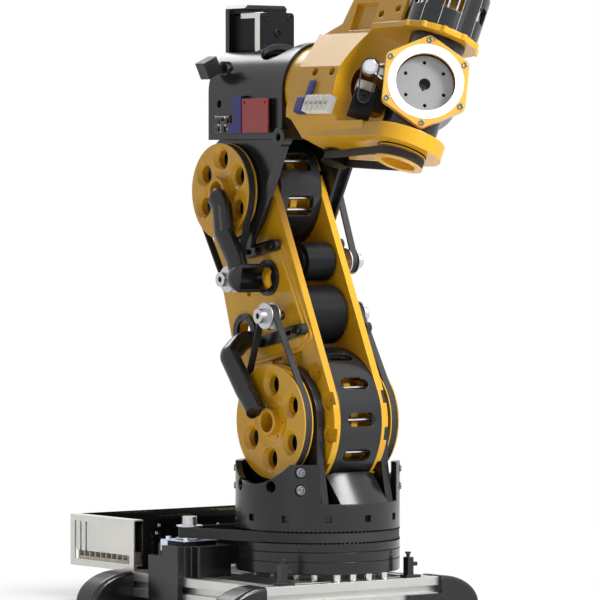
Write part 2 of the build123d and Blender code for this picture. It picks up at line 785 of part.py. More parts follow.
def make_cable_guides():
    """Cable guides from the upper hole to the elbow and from the lower hole to the shoulder."""
    upper = [upper_duct_at, (17.8, 170), (8.3, 200.7), (14, 227), (10, 238)]
    lower = [(-33, 101), (-27, 80), (-14, 40), (-2, 10)]
    to_elbow = cable_guide(upper_duct_at, upper, (0, link_length), -30)
    return group(to_elbow, cable_guide(lower_duct_at, lower, (0, 0), 60))


def belt_span():
    """Where an arm belt runs, from its outer to its inner edge on the left side."""
    low = -pulley_face + pulley_flange + face_gap
    return low, low + belt_width


def make_arm_belts():
    """Belts from the motors' pulleys to the shoulder and elbow pulleys, left and right."""
    shoulder = (0, 0, shoulder_pulley_radius - flange_height)
    elbow = (0, link_length, elbow_pulley_radius - flange_height)
    lower = belt_loop(shoulder, (*shoulder_motor_at, small_pulley_groove), *belt_span())
    left = belt_loop(elbow, (*elbow_motor_at, small_pulley_groove), *belt_span())
    right = belt_loop(elbow, (*right_elbow_motor_at, small_pulley_groove), *belt_span())
    return group(lower, mirror(lower, Plane.XZ), left, mirror(right, Plane.XZ))


def make_drive_pulley(at, shaft_end):
    """Toothed pulley outside the left plate, on a motor shaft that reaches in to shaft_end."""
    pulley = make_small_pulley(belt_width + 2 * face_gap, small_pulley_hub_length)
    face = -pulley_face + pulley_flange + belt_width + 2 * face_gap + pulley_flange
    pulley = Pos(at[0], face, at[1]) * Rot(90, 0, 0) * pulley
    return pulley + bar_y(motor_shaft, -pulley_face + 2, shaft_end, *at)


def make_shoulder_drive_pulleys():
    """Two pulleys on the shoulder motor's shaft, which runs through both plates."""
    left = make_drive_pulley(shoulder_motor_at, 0)
    return left + mirror(left, Plane.XZ)


def make_left_elbow_pulley():
    """Pulley on the left elbow motor's shaft."""
    return make_drive_pulley(elbow_motor_at, drum_half - motor_shaft_stop - 1)


def make_right_elbow_pulley():
    """Pulley on the right elbow motor's shaft."""
    end = -right_elbow_motor_left - motor_shaft_stop - 1
    return mirror(make_drive_pulley(right_elbow_motor_at, end), Plane.XZ)


def make_tensioners():
    """Slotted belt tensioner arms with a round nose, one pair for each belt, left and right."""
    low = -plate_outer - plateau_height

    def left():
        upper = slot_y(56, 12, low - 6, low, 24, 177.5, -10) - slot_y(30, 4.5, low - 7, low + 1, 30, 176.4, -10)
        lower = slot_y(80, 12, low - 6, low, 25.5, 83, -8) - slot_y(24, 4.5, low - 7, low + 1, 47, 80, -8)
        return group(upper, lower)
    return both_sides(left)


def make_joint_bearings():
    """Ball bearings in the plates' seats, on the joint tubes, drawn as plain rings."""
    rings = []
    for z in (0, link_length):
        for low in (-plate_outer + 0.5, plate_outer - 0.5 - bearing_width):
            ring = Circle(bearing_radius) - Circle(tube_radius + fit_gap)
            rings.append(slab_y(Pos(0, z) * ring, low, low + bearing_width))
    return group(*rings)


# Forearm housing

def make_forearm_housing():
    """Black housing of the roll axis: a round-topped barrel with two cheeks down to the elbow."""
    floor = forearm_z - housing_floor
    section = Circle(housing_half)
    section += Pos(0, -housing_floor / 2) * Rectangle(2 * housing_half, housing_floor)
    section -= Pos(0, -housing_half - housing_floor) * Rectangle(120, 2 * housing_half)
    body = Pos(0, 0, forearm_z) * extrude(Plane.YZ.offset(housing_back) * section, housing_front - housing_back)
    back_wall = housing_back + housing_wall
    body -= bar_x(housing_half - housing_wall, back_wall, housing_front + 1, 0, forearm_z)
    body -= bar_x(rear_bearing_radius + fit_gap, housing_back - 1, back_wall + 1, 0, forearm_z)
    cheek = hull_of([(elbow_x, elbow_z, housing_ear_radius), (housing_back + 22, floor + 3, 3),
                     (housing_front - 4, floor + 3, 3)])
    cheek = slab_y(cheek, -ear_outer, -ear_inner)
    body += cheek + mirror(cheek, Plane.XZ)
    body -= bar_y(elbow_drum_radius + 2.4, -ear_inner, ear_inner, elbow_x, elbow_z)
    body -= bar_y(tube_radius + fit_gap, -ear_outer - 1, ear_outer + 1, elbow_x, elbow_z)
    half = roll_motor_side / 2
    seat = forearm_z + roll_motor_rise - half - face_gap
    body -= block(housing_back - 1, roll_motor_front + 2, -half - 6.2, half + 6.2, seat, seat + 60)
    oval = Rot(0, 0, 90) * SlotOverall(*housing_window)
    window = Pos(housing_window_x, 0, forearm_z + 20) * extrude(oval, housing_half)
    body -= window
    for side in (-1, 1):
        body -= bar_y(4, 0, 20, -102, forearm_z - 12).moved(Pos(0, side * housing_half - 10, 0))
    return body


def make_housing_braces():
    """Curved braces along the front rim of each cheek, from a round eye down to the elbow."""
    eye = (housing_front + 2, forearm_z - 47)
    side = housing_half + fit_gap
    floor = forearm_z - housing_floor
    arc = ThreePointArc(eye, (elbow_x + 66, elbow_z + 2), (elbow_x + 36, elbow_z - 53))

    def left():
        points = [arc @ (step / 8) for step in range(9)]
        outline = Sketch()
        for one, two in zip(points, points[1:]):
            outline += hull_of([(one.X, one.Y, 5), (two.X, two.Y, 5)])
        brace = slab_y(outline, -ear_outer - 2.8, -ear_outer)
        brace += bar_y(9.5, -housing_half - 6, -ear_outer, *eye)
        brace -= block(housing_back, housing_front + fit_gap, -side, 0, floor - fit_gap, floor + 40)
        return brace - bar_y(4, -housing_half - 7, 0, *eye)
    return both_sides(left)


def make_roll_motor():
    """Stepper on top of the housing, lying along X, its shaft towards the back."""
    motor = make_stepper(roll_motor_length, roll_motor_side)
    half = roll_motor_side / 2
    motor += block(half, half + 3, -8, 8, -roll_motor_length + 1, -roll_motor_length + 14)
    motor -= post(3.2, -roll_motor_length - 1, -roll_motor_length + 2)
    return Pos(roll_motor_back, 0, forearm_z + roll_motor_rise) * Rot(0, -90, 0) * motor


def make_roll_motor_bracket():
    """Black hooded bracket behind the roll motor, chamfered at the top."""
    half = roll_motor_side / 2
    seat = forearm_z + roll_motor_rise - half - face_gap
    top = forearm_z + roll_motor_rise + half + 8
    back = roll_motor_back
    plate = block(back - bracket_thick, back - fit_gap, -half - 6, half + 6, seat, top)
    hood = block(back - 1, back + 28, -half - 6, half + 6, top - 4, top)
    bracket = plate + hood
    bracket = chamfer(bracket.faces().sort_by(Axis.Z)[-1].edges().filter_by(Axis.X), 3.5)
    return bracket - bar_x(12, back - bracket_thick - 1, back + 1, 0, forearm_z + roll_motor_rise)


def make_roll_drive_pulley():
    """Pulley on the roll motor's shaft behind the bracket."""
    pulley = make_small_pulley(rear_belt_width + 2 * face_gap, 1)
    shaft = post(motor_shaft, -bracket_thick - run_gap + face_gap, 8)
    return Pos(roll_pulley_face, 0, forearm_z + roll_motor_rise) * Rot(0, -90, 0) * (pulley + shaft)


def make_roll_belt():
    """Belt behind the housing from the roll motor's pulley to the pulley on the roll shaft."""
    inner = [(0, forearm_z, rear_pulley_radius + fit_gap)]
    inner.append((0, forearm_z + roll_motor_rise, small_pulley_groove + fit_gap))
    outer = [(y, z, radius + belt_thick) for y, z, radius in inner]
    loop = hull_of(outer) - hull_of(inner)
    return extrude(Plane.YZ.offset(roll_belt_front) * loop, -rear_belt_width)


def make_driver_board():
    """Red driver board on the left side, with two holes."""
    low = forearm_z - board_drop
    board = block(-55, -10, -housing_half - 6, -housing_half - 4, low, low + 35)
    for x in (-50, -15):
        board -= bar_y(1.3, -housing_half - 7, -housing_half - 3, x, low + 31)
    return board


def make_board_clips():
    """Blue printed clips that hold the boards off the housing."""
    low = forearm_z - board_drop
    tall = block(-70, -55.2, -housing_half - 7, -housing_half, low, low + 38)
    short = block(-78, -70, -housing_half - 7, -housing_half, low, low + 10)
    seat = block(-50, -15, -housing_half - 4, -housing_half, low + 8, low + 26)
    return group(tall + short, seat)


def make_sensor_board():
    """Small green board behind the clips."""
    low = forearm_z - board_drop
    return block(-104, -78.3, -housing_half - 4, -housing_half, low, low + 18)


def make_rear_sensor():
    """Small black tilted box on a round bracket at the housing's rear top corner."""
    box = Rot(25, 0, 0) * Box(15, 18, 18)
    stem = bar_y(4, 0, 20, 0, 0) + bar_y(9, 15, 22, 4, -2)
    sensor = Pos(-104, -housing_half - 12, forearm_z + 25) * (box + stem)
    return sensor - bar_x(housing_half + fit_gap, housing_back, 0, 0, forearm_z)


# Roll body, drawn with its axis on X and the wrist axis along +Z

def make_roll_shaft():
    """Hollow yellow shaft with a wide rotor drum, a front hub and a rear belt pulley."""
    rear = roll_belt_front - rear_belt_width - face_gap
    shaft = bar_x(roll_shaft_radius, rear, housing_front + roll_gap)
    shaft += bar_x(rotor_radius, -62, -18)
    shaft -= bar_x(rotor_radius + 1, -46, -34) - bar_x(rotor_radius - 4, -50, -30)
    shaft += bar_x(front_hub_radius, housing_front - front_bearing_width - 3, housing_front + roll_gap)
    groove = bar_x(rear_pulley_radius, rear, rear + rear_belt_width + 2 * face_gap)
    flange = bar_x(rear_pulley_radius + 2, rear - pulley_flange, rear)
    front_flange = Pos(rear_belt_width + 2 * face_gap + pulley_flange, 0, 0) * flange
    return shaft + groove + flange + front_flange - bar_x(roll_shaft_bore, rear - 5, housing_front + 5)


def make_roll_bearings():
    """Front and rear bearings of the roll shaft."""
    rear = Circle(rear_bearing_radius) - Circle(roll_shaft_radius + fit_gap)
    front = Circle(housing_half - housing_wall - fit_gap) - Circle(front_hub_radius + fit_gap)
    low = housing_front - front_bearing_width
    place = Pos(0, 0, forearm_z)
    return group(
        place * extrude(Plane.YZ.offset(housing_back + 0.5) * rear, housing_wall - 1),
        place * extrude(Plane.YZ.offset(low) * front, front_bearing_width - 0.5),
    )


def make_forearm_fork():
    """Yellow faceted fork: round at the roll bearing, with a lower and an upper arm for the wrist."""
    back = housing_front + roll_gap
    low = -fork_gap_half - fork_lower_thick
    block_front = wrist_x - 22
    side = Polyline((back, -fork_radius), (back, fork_radius), (32, fork_radius), (56, 58), (62, fork_top),
                    (block_front, fork_top), (block_front, low), (52, low), (30, -fork_radius), close=True)
    shape = slab_y(make_face(side), -fork_radius, fork_radius)
    half = fork_radius
    front = Polyline((-36, low), (-half, -38), (-half, 6), (-36, 47), (-36, fork_top), (36, fork_top),
                     (36, 47), (half, 6), (half, -38), (36, low), close=True)
    shape &= extrude(Plane.YZ * make_face(front), 200)
    shape += bar_x(fork_radius, back, 34)
    shape -= bar_x(80, back - 1, 24) - bar_x(fork_radius, back - 2, 25)
    lower = hull_of([(wrist_x, 0, fork_arm_radius), (60, -34, 4), (60, 34, 4)])
    shape += Pos(0, 0, low) * extrude(lower, fork_lower_thick)
    upper = hull_of([(wrist_x, 0, fork_arm_radius), (100, -32, 4), (100, 32, 4)])
    shape += Pos(0, 0, fork_gap_half) * extrude(upper, fork_upper_thick)
    for place in PolarLocations(fork_arm_radius - 1, 7, -97, 194, endpoint=True):
        shape += Pos(wrist_x, 0, fork_gap_half) * place * post(3.6, 0, fork_upper_thick)
    opening = slab_y(Pos(wrist_x, 0) * Circle(fork_opening_radius), -60, 60)
    opening += block(wrist_x, wrist_x + 90, -60, 60, -60, 60)
    shape -= opening & block(0, 300, -60, 60, -fork_gap_half, fork_gap_half)
    shape -= post(wrist_drum_radius + 1.5, fork_gap_half + fork_upper_thick, fork_top + 1, wrist_x)
    shape -= post(wrist_trunnion_radius + 3, low - 1, fork_top + 1, wrist_x)
    shape -= bar_x(28, back + 10, 120)
    shape -= bar_x(roll_shaft_bore, back - 1, back + 11)
    shape -= post(wrist_motor_radius + fit_gap, -fork_gap_half, 0, wrist_motor_x)
    shape -= post(5, low - 1, 0, wrist_motor_x)
    for x in (53, 81):
        for across in (-1, 1):
            shape -= bar_y(4.6, 0, 12, x, 0).moved(Pos(0, across * (fork_radius - 2) - 6, 0))
    pocket = block(70, 106, 31, 40, 50, fork_top - 6)
    shape -= pocket + mirror(pocket, Plane.XZ)
    for x, z in ((115, fork_top - 19), (140, fork_top - 14)):
        shape -= bar_y(4.2, -60, 60, x, z)
    return shape


def make_wrist_bearings():
    """Bearing rings round the hand's trunnions in both fork arms."""
    ring = Circle(wrist_trunnion_radius + 3 - fit_gap) - Circle(wrist_trunnion_radius + fit_gap)
    lower = Pos(wrist_x, 0, -fork_gap_half - 9) * extrude(ring, 8)
    upper = Pos(wrist_x, 0, fork_gap_half + 0.5) * extrude(ring, fork_upper_thick - 1)
    return group(lower, upper)


def make_wrist_drum():
    """Black drum on the upper arm, faceted outside, with windows all round."""
    low = fork_gap_half + fork_upper_thick
    drum = extrude(RegularPolygon(wrist_drum_radius + 1, 12), wrist_drum_height)
    drum -= post(wrist_drum_radius - 5, -1, wrist_drum_height - 4)
    for step in range(6):
        drum -= Rot(0, 0, 60 * step + 30) * block(20, 50, -11, 11, 20, 36)
    drum &= post(wrist_drum_radius, -1, wrist_drum_height + 1)
    return Pos(wrist_x, 0, low) * drum


def make_wrist_drum_core():
    """Yellow reel inside the wrist drum."""
    low = fork_gap_half + fork_upper_thick
    reel = post(wrist_drum_radius - 9, 0.3, wrist_drum_height - 4.3)
    reel -= post(wrist_drum_radius, 18, 38) - post(wrist_drum_radius - 15, 10, 40)
    return Pos(wrist_x, 0, low) * (reel - post(12, -1, wrist_drum_height))


def make_wrist_motor():
    """Small round motor inside the fork, its shaft down through the floor."""
    motor = post(wrist_motor_radius, -fork_gap_half + 0.2, -fork_gap_half + 36, wrist_motor_x)
    return motor - post(motor_shaft + fit_gap, -fork_gap_half - 1, -fork_gap_half + 12, wrist_motor_x)


def make_wrist_drive_pulley():
    """Toothed pulley under the fork on the wrist motor's shaft."""
    low = wrist_belt_low - face_gap - pulley_flange
    pulley = Pos(wrist_motor_x, 0, low) * make_small_pulley(wrist_belt_width + 2 * face_gap, 0)
    return pulley + post(motor_shaft, low, -fork_gap_half + 11, wrist_motor_x)


def make_wrist_belt():
    """Belt under the fork from the wrist motor to the hand's pulley."""
    inner = [(wrist_x, 0, wrist_belt_radius + fit_gap), (wrist_motor_x, 0, small_pulley_groove + fit_gap)]
    outer = [(x, y, radius + belt_thick) for x, y, radius in inner]
    return Pos(0, 0, wrist_belt_low) * extrude(hull_of(outer) - hull_of(inner), wrist_belt_width)


def make_terminal_block():
    """White five-way terminal block on the side of the lower arm."""
    strip = block(0, 40, -9, 0, 0, 17)
    for step in range(5):
        x = 4 + step * 8
        strip -= post(1.8, 12, 18, x, -4.5)
        strip -= bar_y(2.4, -10, -5, x, 8.5)
    for step in range(4):
        strip -= block(7.2 + step * 8, 8.8 + step * 8, -10, -7.5, -1, 18)
    return Pos(64, -fork_radius - fit_gap, -46) * strip


# Hand, drawn with its axis on X and the wrist axis along +Z

def make_hand_housing():
    """Black hand housing: a short barrel with trunnions up and down into the fork arms."""
    front = hand_face - bezel_thick
    hand = bar_x(hand_radius, hand_back, front)
    hand = chamfer(hand.edges().sort_by(Axis.X)[0], 6)
    hand += post(wrist_trunnion_radius + 6, -fork_gap_half + run_gap, fork_gap_half - run_gap)
    hand += post(wrist_trunnion_radius, -fork_gap_half - fork_lower_thick - 1.2, fork_gap_half + 5.5)
    hand -= bar_x(hand_radius + 20, front, front + 40)
    hand -= bar_x(flange_radius + 0.8, hand_face - flange_recess - flange_thick - 2, front + 1)
    hand -= bar_x(8.4, hand_back + 10, front)
    return hand - post(14, -80, -fork_gap_half + 8)


def make_hand_bezel():
    """Yellow scalloped bezel with six screw lobes and a seat for the ring light."""
    spots = [place.position for place in PolarLocations(bezel_radius, 6, 12)]
    outline = Circle(bezel_radius) + hull_of([(spot.X, spot.Y, bezel_lobe) for spot in spots])
    bezel = Rot(0, 90, 0) * Pos(0, 0, hand_face - bezel_thick) * extrude(outline, bezel_thick)
    bezel -= bar_x(light_outer + fit_gap, hand_face - light_thick, hand_face + 1)
    return bezel - bar_x(light_inner, 0, hand_face)


def make_ring_light():
    """Flat white ring light in the bezel's seat."""
    ring = bar_x(light_outer, hand_face - light_thick + 0.1, hand_face + 0.6)
    return ring - bar_x(light_inner, 0, hand_face + 2)


def make_wrist_pulley():
    """Yellow belt pulley under the fork, fixed to the hand's lower trunnion."""
    low = wrist_belt_low - face_gap - pulley_flange
    high = -fork_gap_half - fork_lower_thick - 1.2
    pulley = post(wrist_belt_radius, low, high) + post(wrist_belt_radius + 2.3, low, low + pulley_flange)
    pulley += post(wrist_belt_radius + 2.3, high - pulley_flange, high)
    pulley -= post(wrist_belt_radius - 5, low - 1, high - 5)
    for place in PolarLocations(wrist_belt_radius - 2.5, 6):
        pulley -= place * post(1.1, low - 1, low + 3)
    return pulley


def make_hand_motor():
    """Black motor on the hand's left side with a silver cap, which turns the tool flange."""
    body = block(-20, 8, -63, -41, -46, -14)
    arm = block(-18, 6, -46, -30, -34, -16)
    body += arm - bar_x(hand_radius + 0.05, -60, 60)
    return body


def make_hand_lever():
    """Silver bracket with a round knob between the bezel and the side motor."""
    bracket = block(10, 14, -58, -hand_radius - fit_gap, -4, 3) + bar_x(7.5, 6, 17, -56, 0)
    bracket += block(-6, 10, -58, -54, -3, 3)
    return bracket - bar_x(2, 5, 18, -56, 0)


def make_tool_flange():
    """Grey tool flange with six holes, a keyed centre bore and its shaft into the hand."""
    face = hand_face - flange_recess
    flange = bar_x(flange_radius, face - flange_thick, face)
    flange += bar_x(8, hand_back + 12, face - flange_thick)
    for step in range(flange_holes):
        hole = bar_x(flange_hole, face - flange_thick - 1, face + 1, 0, flange_pcd / 2)
        flange -= Rot(360 / flange_holes * step + 18, 0, 0) * hole
    flange -= bar_x(flange_bore, face - flange_bore_depth, face + 1)
    return flange - block(face - flange_thick, face + 1, -1.5, 1.5, -flange_bore - 1.5, 0)


def write(name, shape, place=None):
    """Write one sub-part as STEP, in the arm's own frame."""
    shape = place * shape if place else shape
    export_step(shape, f"parts/{name}.step")


def write_base():
    """The base and what it carries up to the yaw belt."""
    write("frame_beams", make_frame_beams())
    write("corner_feet", make_corner_feet())
    write("supply_case", make_supply_case())
    write("supply_cover", make_supply_cover())
    write("supply_board", make_supply_board())
    write("base_standoffs", make_base_standoffs())
    write("base_plate", make_base_plate())
    write("base_ring", make_base_ring())
    write("yaw_bearing", make_yaw_bearing())
    write("cable_hooks", make_cable_hooks())
    write("yaw_motor", make_yaw_motor())
    write("yaw_motor_holder", make_yaw_holder())
    write("yaw_belt", make_yaw_belt())
    write("yaw_drive_pulley", make_yaw_drive_pulley())


def write_turret():
    """The turret and what it holds still at the shoulder."""
    write("turret_pulley", make_turret_pulley())
    write("turret_housing", make_turret_housing())
    write("shoulder_pulleys", make_shoulder_pulleys(), Pos(0, 0, shoulder_z))
    write("shoulder_tube", make_joint_tube(), Pos(0, 0, shoulder_z))


def write_lower_arm():
    """The lower arm between shoulder and elbow, with its motors' pulleys."""
    left_plate = make_side_plate(elbow_motor_at, (upper_duct_at, lower_duct_at))
    write("left_side_plate", left_plate, link_frame)
    right_plate = make_side_plate(right_elbow_motor_at, ())
    write("right_side_plate", mirror(right_plate, Plane.XZ), link_frame)
    drum = make_drum(shoulder_drum_radius, shoulder_windows, *shoulder_window, shoulder_window_start)
    write("shoulder_drum", drum, link_frame)
    drum = make_drum(elbow_drum_radius, elbow_windows, *elbow_window, elbow_window_start)
    write("elbow_drum", drum, link_frame * Pos(0, 0, link_length))
    write("drum_cores", make_drum_cores(), link_frame)
    write("drum_rods", make_drum_rods(), link_frame)
    write("arm_motors", make_arm_motors(), link_frame)
    write("cable_guides", make_cable_guides(), link_frame)
    write("arm_belts", make_arm_belts(), link_frame)
    write("belt_tensioners", make_tensioners(), link_frame)
    write("joint_bearings", make_joint_bearings(), link_frame)
    write("shoulder_drive_pulleys", make_shoulder_drive_pulleys(), link_frame)
    write("left_elbow_drive_pulley", make_left_elbow_pulley(), link_frame)
    write("right_elbow_drive_pulley", make_right_elbow_pulley(), link_frame)


def write_forearm_housing():
    """The housing that turns at the elbow and carries the roll axis."""
    write("forearm_housing", make_forearm_housing())
    write("elbow_pulleys", make_elbow_pulleys(), elbow_frame)
    write("elbow_tube", make_joint_tube(), elbow_frame)
    write("housing_braces", make_housing_braces())
    write("roll_motor", make_roll_motor())
    write("roll_motor_bracket", make_roll_motor_bracket())
    write("roll_belt", make_roll_belt())
    write("roll_bearings", make_roll_bearings())
    write("driver_boards", group(make_driver_board(), make_sensor_board()))
    write("board_clips", make_board_clips())
    write("rear_sensor", make_rear_sensor())
    write("roll_drive_pulley", make_roll_drive_pulley())


def write_fork():
    """The rolling fork and the wrist drive."""
    write("roll_shaft", make_roll_shaft(), roll_frame)
    write("forearm_fork", make_forearm_fork(), roll_frame)
    write("wrist_bearings", make_wrist_bearings(), roll_frame)
    write("wrist_drum", make_wrist_drum(), roll_frame)
    write("wrist_drum_core", make_wrist_drum_core(), roll_frame)
    write("wrist_motor", make_wrist_motor(), roll_frame)
    write("wrist_belt", make_wrist_belt(), roll_frame)
    write("terminal_block", make_terminal_block(), roll_frame)
    write("wrist_drive_pulley", make_wrist_drive_pulley(), roll_frame)


def write_hand():
    """The hand that pitches in the fork, and the tool flange."""
    write("hand_housing", make_hand_housing(), hand_frame)
    write("hand_bezel", make_hand_bezel(), hand_frame)
    write("ring_light", make_ring_light(), hand_frame)
    write("wrist_pulley", make_wrist_pulley(), hand_frame)
    write("hand_motor", make_hand_motor(), hand_frame)
    write("hand_lever", make_hand_lever(), hand_frame)
    write("tool_flange", make_tool_flange(), hand_frame)


os.makedirs("parts", exist_ok=True)
write_base()
write_turret()
write_lower_arm()
write_forearm_housing()
write_fork()
write_hand()
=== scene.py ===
from math import atan2, cos, pi, radians, sin

import bmesh
import bpy
from mathutils import Matrix, Vector


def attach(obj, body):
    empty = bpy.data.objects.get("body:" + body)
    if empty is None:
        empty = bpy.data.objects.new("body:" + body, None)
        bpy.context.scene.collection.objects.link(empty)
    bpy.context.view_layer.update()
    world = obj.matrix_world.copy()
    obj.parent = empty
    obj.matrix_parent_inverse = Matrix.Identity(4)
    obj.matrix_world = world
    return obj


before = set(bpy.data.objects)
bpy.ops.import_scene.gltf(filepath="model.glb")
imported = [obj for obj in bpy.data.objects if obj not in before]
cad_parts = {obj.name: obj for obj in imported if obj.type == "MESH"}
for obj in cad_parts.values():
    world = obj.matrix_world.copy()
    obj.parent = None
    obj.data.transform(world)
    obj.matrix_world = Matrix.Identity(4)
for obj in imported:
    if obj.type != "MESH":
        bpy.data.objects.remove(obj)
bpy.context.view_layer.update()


# Camera: a long lens almost level with the elbow, 53 degrees round to the arm's front left.
# Its place is worked out from the round pulleys and the level edges in the photograph.
camera_distance = 4.694
camera_side = 0.018
camera_height = 0.436
camera_turn = radians(53.1)
camera_dip = radians(1.52)
towards = Vector((sin(camera_turn), -cos(camera_turn), 0))
rightwards = Vector((cos(camera_turn), sin(camera_turn), 0))

camera_data = bpy.data.cameras.new("long_lens")
camera_data.sensor_width = 36
camera_data.lens = 276
camera_data.clip_end = 60
camera = bpy.data.objects.new("camera", camera_data)
bpy.context.scene.collection.objects.link(camera)
camera.location = towards * camera_distance - rightwards * camera_side + Vector((0, 0, camera_height))
look = -towards * cos(camera_dip) - Vector((0, 0, sin(camera_dip)))
camera.rotation_euler = look.to_track_quat("-Z", "Y").to_euler()
bpy.context.scene.camera = camera


# Studio light: a broad soft lamp above and to the right of the camera, a weaker one from the left, one
# overhead that glints in the turret's sloped panel, and one behind that whitens faces turned up and back.
def lamp(name, place, size, power):
    """Adds a round soft lamp that aims at the middle of the arm."""
    data = bpy.data.lights.new(name, "AREA")
    data.shape = "DISK"
    data.size = size
    data.energy = power
    light = bpy.data.objects.new(name, data)
    bpy.context.scene.collection.objects.link(light)
    light.location = place
    light.rotation_euler = (Vector(arm_middle) - Vector(place)).to_track_quat("-Z", "Y").to_euler()


arm_middle = (0.05, 0, 0.35)
lamp("key_lamp", towards * 1.5 + rightwards * 2.1 + Vector((0, 0, 1.9)), 0.9, 92)
lamp("fill_lamp", towards * 2.4 - rightwards * 1.6 + Vector((0, 0, 0.9)), 1.6, 8)
lamp("top_lamp", Vector((0.85, 0.75, 2.5)), 0.8, 38)
lamp("rim_lamp", Vector((-1.75, 0.19, 1.99)), 1.1, 19)


# World: even pale light on the object, and plain white where the camera, a mirror or glass sees it.
# Colours are sRGB hex codes turned linear, and nodes are added by one function, here and below.
def linear(code):
    """An sRGB hex colour as linear RGBA."""
    parts = [int(code[i:i + 2], 16) / 255 for i in (1, 3, 5)]
    return [c / 12.92 if c <= 0.04045 else ((c + 0.055) / 1.055) ** 2.4 for c in parts] + [1.0]


def add(tree, kind, settings=None, inputs=None):
    """Adds a node with its settings, and its inputs as values or as other nodes' sockets."""
    made = tree.nodes.new(kind)
    for name, value in (settings or {}).items():
        setattr(made, name, value)
    for name, value in (inputs or {}).items():
        if isinstance(value, bpy.types.NodeSocket):
            tree.links.new(value, made.inputs[name])
        else:
            made.inputs[name].default_value = value
    return made


world = bpy.data.worlds.new("white_studio")
bpy.context.scene.world = world
world.use_nodes = True
world.node_tree.nodes.clear()
rays = add(world.node_tree, "ShaderNodeLightPath")
through = add(world.node_tree, "ShaderNodeMath", {"operation": "MAXIMUM"},
              {0: rays.outputs["Is Camera Ray"], 1: rays.outputs["Is Transmission Ray"]})
seen = add(world.node_tree, "ShaderNodeMath", {"operation": "MAXIMUM"},
           {0: through.outputs[0], 1: rays.outputs["Is Glossy Ray"]})
even = add(world.node_tree, "ShaderNodeBackground", None, {"Color": linear("#F4F6FA"), "Strength": 0.13})
white = add(world.node_tree, "ShaderNodeBackground", None, {"Color": linear("#FFFFFF"), "Strength": 1.0})
both = add(world.node_tree, "ShaderNodeMixShader", None,
           {0: seen.outputs[0], 1: even.outputs[0], 2: white.outputs[0]})
add(world.node_tree, "ShaderNodeOutputWorld", None, {"Surface": both.outputs[0]})


# Floor: a white painted table that the feet stand on. It keeps the arm's soft shadow near the feet,
# and glows for the camera further out, so that it meets the white behind it.
def start_material(name):
    """An empty material, its node tree and its output node."""
    material = bpy.data.materials.new(name)
    material.use_nodes = True
    material.node_tree.nodes.clear()
    return material, material.node_tree, material.node_tree.nodes.new("ShaderNodeOutputMaterial")


half_floor = 3.0
floor_drop = 0.0004
shadow_ends = 0.16
plain_white_from = 0.4
floor_mesh = bpy.data.meshes.new("floor")
floor_mesh.from_pydata([(-half_floor, -half_floor, 0), (half_floor, -half_floor, 0),
                        (half_floor, half_floor, 0), (-half_floor, half_floor, 0)], [], [(0, 1, 2, 3)])
floor = bpy.data.objects.new("floor", floor_mesh)
bpy.context.scene.collection.objects.link(floor)
floor.location.z = -floor_drop
material, tree, output = start_material("white_painted_table")
paint = add(tree, "ShaderNodeBsdfDiffuse", None, {"Color": linear("#F2F2F2"), "Roughness": 0.6})
glow = add(tree, "ShaderNodeEmission", None, {"Color": linear("#FFFFFF"), "Strength": 1.0})
rays = add(tree, "ShaderNodeLightPath")
where = add(tree, "ShaderNodeNewGeometry")
away = add(tree, "ShaderNodeVectorMath", {"operation": "DISTANCE"},
           {0: where.outputs["Position"], 1: (-0.06, 0.0, 0.0)})
plain = add(tree, "ShaderNodeMapRange", {"interpolation_type": "SMOOTHSTEP"},
            {"Value": away.outputs["Value"], "From Min": shadow_ends, "From Max": plain_white_from,
             "To Min": 0.5, "To Max": 1.0})
share = add(tree, "ShaderNodeMath", {"operation": "MULTIPLY"},
            {0: rays.outputs["Is Camera Ray"], 1: plain.outputs[0]})
mixed = add(tree, "ShaderNodeMixShader", None, {0: share.outputs[0], 1: paint.outputs[0], 2: glow.outputs[0]})
tree.links.new(mixed.outputs[0], output.inputs["Surface"])
floor_mesh.materials.append(material)


# Base frame: slotted aluminium beams, extruded, clear anodised and screwed together at the corners.
# The die leaves fine lines along each beam, which blur its reflections lengthwise.
def dress(material, *nodes):
    """Gives CAD nodes a material."""
    for name in nodes:
        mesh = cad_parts[name].data
        mesh.materials.clear()
        mesh.materials.append(material)


def worked_metal(name, colour, roughness, marks, depth):
    """Bare or plated metal; marks are the tool marks per metre along each axis, depth how much they show."""
    stains_per_metre = 25.0
    material, tree, output = start_material(name)
    where = add(tree, "ShaderNodeTexCoord")
    stretched = add(tree, "ShaderNodeMapping", {"vector_type": "POINT"},
                    {"Vector": where.outputs["Object"], "Scale": marks})
    streaks = add(tree, "ShaderNodeTexNoise", None,
                  {"Vector": stretched.outputs[0], "Scale": 1.0, "Detail": 4.0, "Roughness": 0.6})
    stain = add(tree, "ShaderNodeTexNoise", None,
                {"Vector": where.outputs["Object"], "Scale": stains_per_metre, "Detail": 3.0})
    tone = add(tree, "ShaderNodeMapRange", None,
               {"Value": stain.outputs["Fac"], "To Min": 0.88, "To Max": 1.08})
    base = add(tree, "ShaderNodeVectorMath", {"operation": "SCALE"},
               {0: linear(colour)[:3], "Scale": tone.outputs[0]})
    dull = add(tree, "ShaderNodeMapRange", None,
               {"Value": streaks.outputs["Fac"], "To Min": roughness - 0.08, "To Max": roughness + 0.12})
    crease = add(tree, "ShaderNodeBevel", {"samples": 6}, {"Radius": 0.0006})
    bump = add(tree, "ShaderNodeBump", None,
               {"Strength": depth, "Distance": 0.00005, "Height": streaks.outputs["Fac"],
                "Normal": crease.outputs[0]})
    shader = add(tree, "ShaderNodeBsdfPrincipled", None,
                 {"Base Color": base.outputs[0], "Metallic": 1.0, "Roughness": dull.outputs[0],
                  "Normal": bump.outputs[0]})
    tree.links.new(shader.outputs[0], output.inputs["Surface"])
    return material


dress(worked_metal("drawn_anodised_aluminium", "#C9C9C6", 0.36, (8, 900, 900), 0.2), "frame_beams")


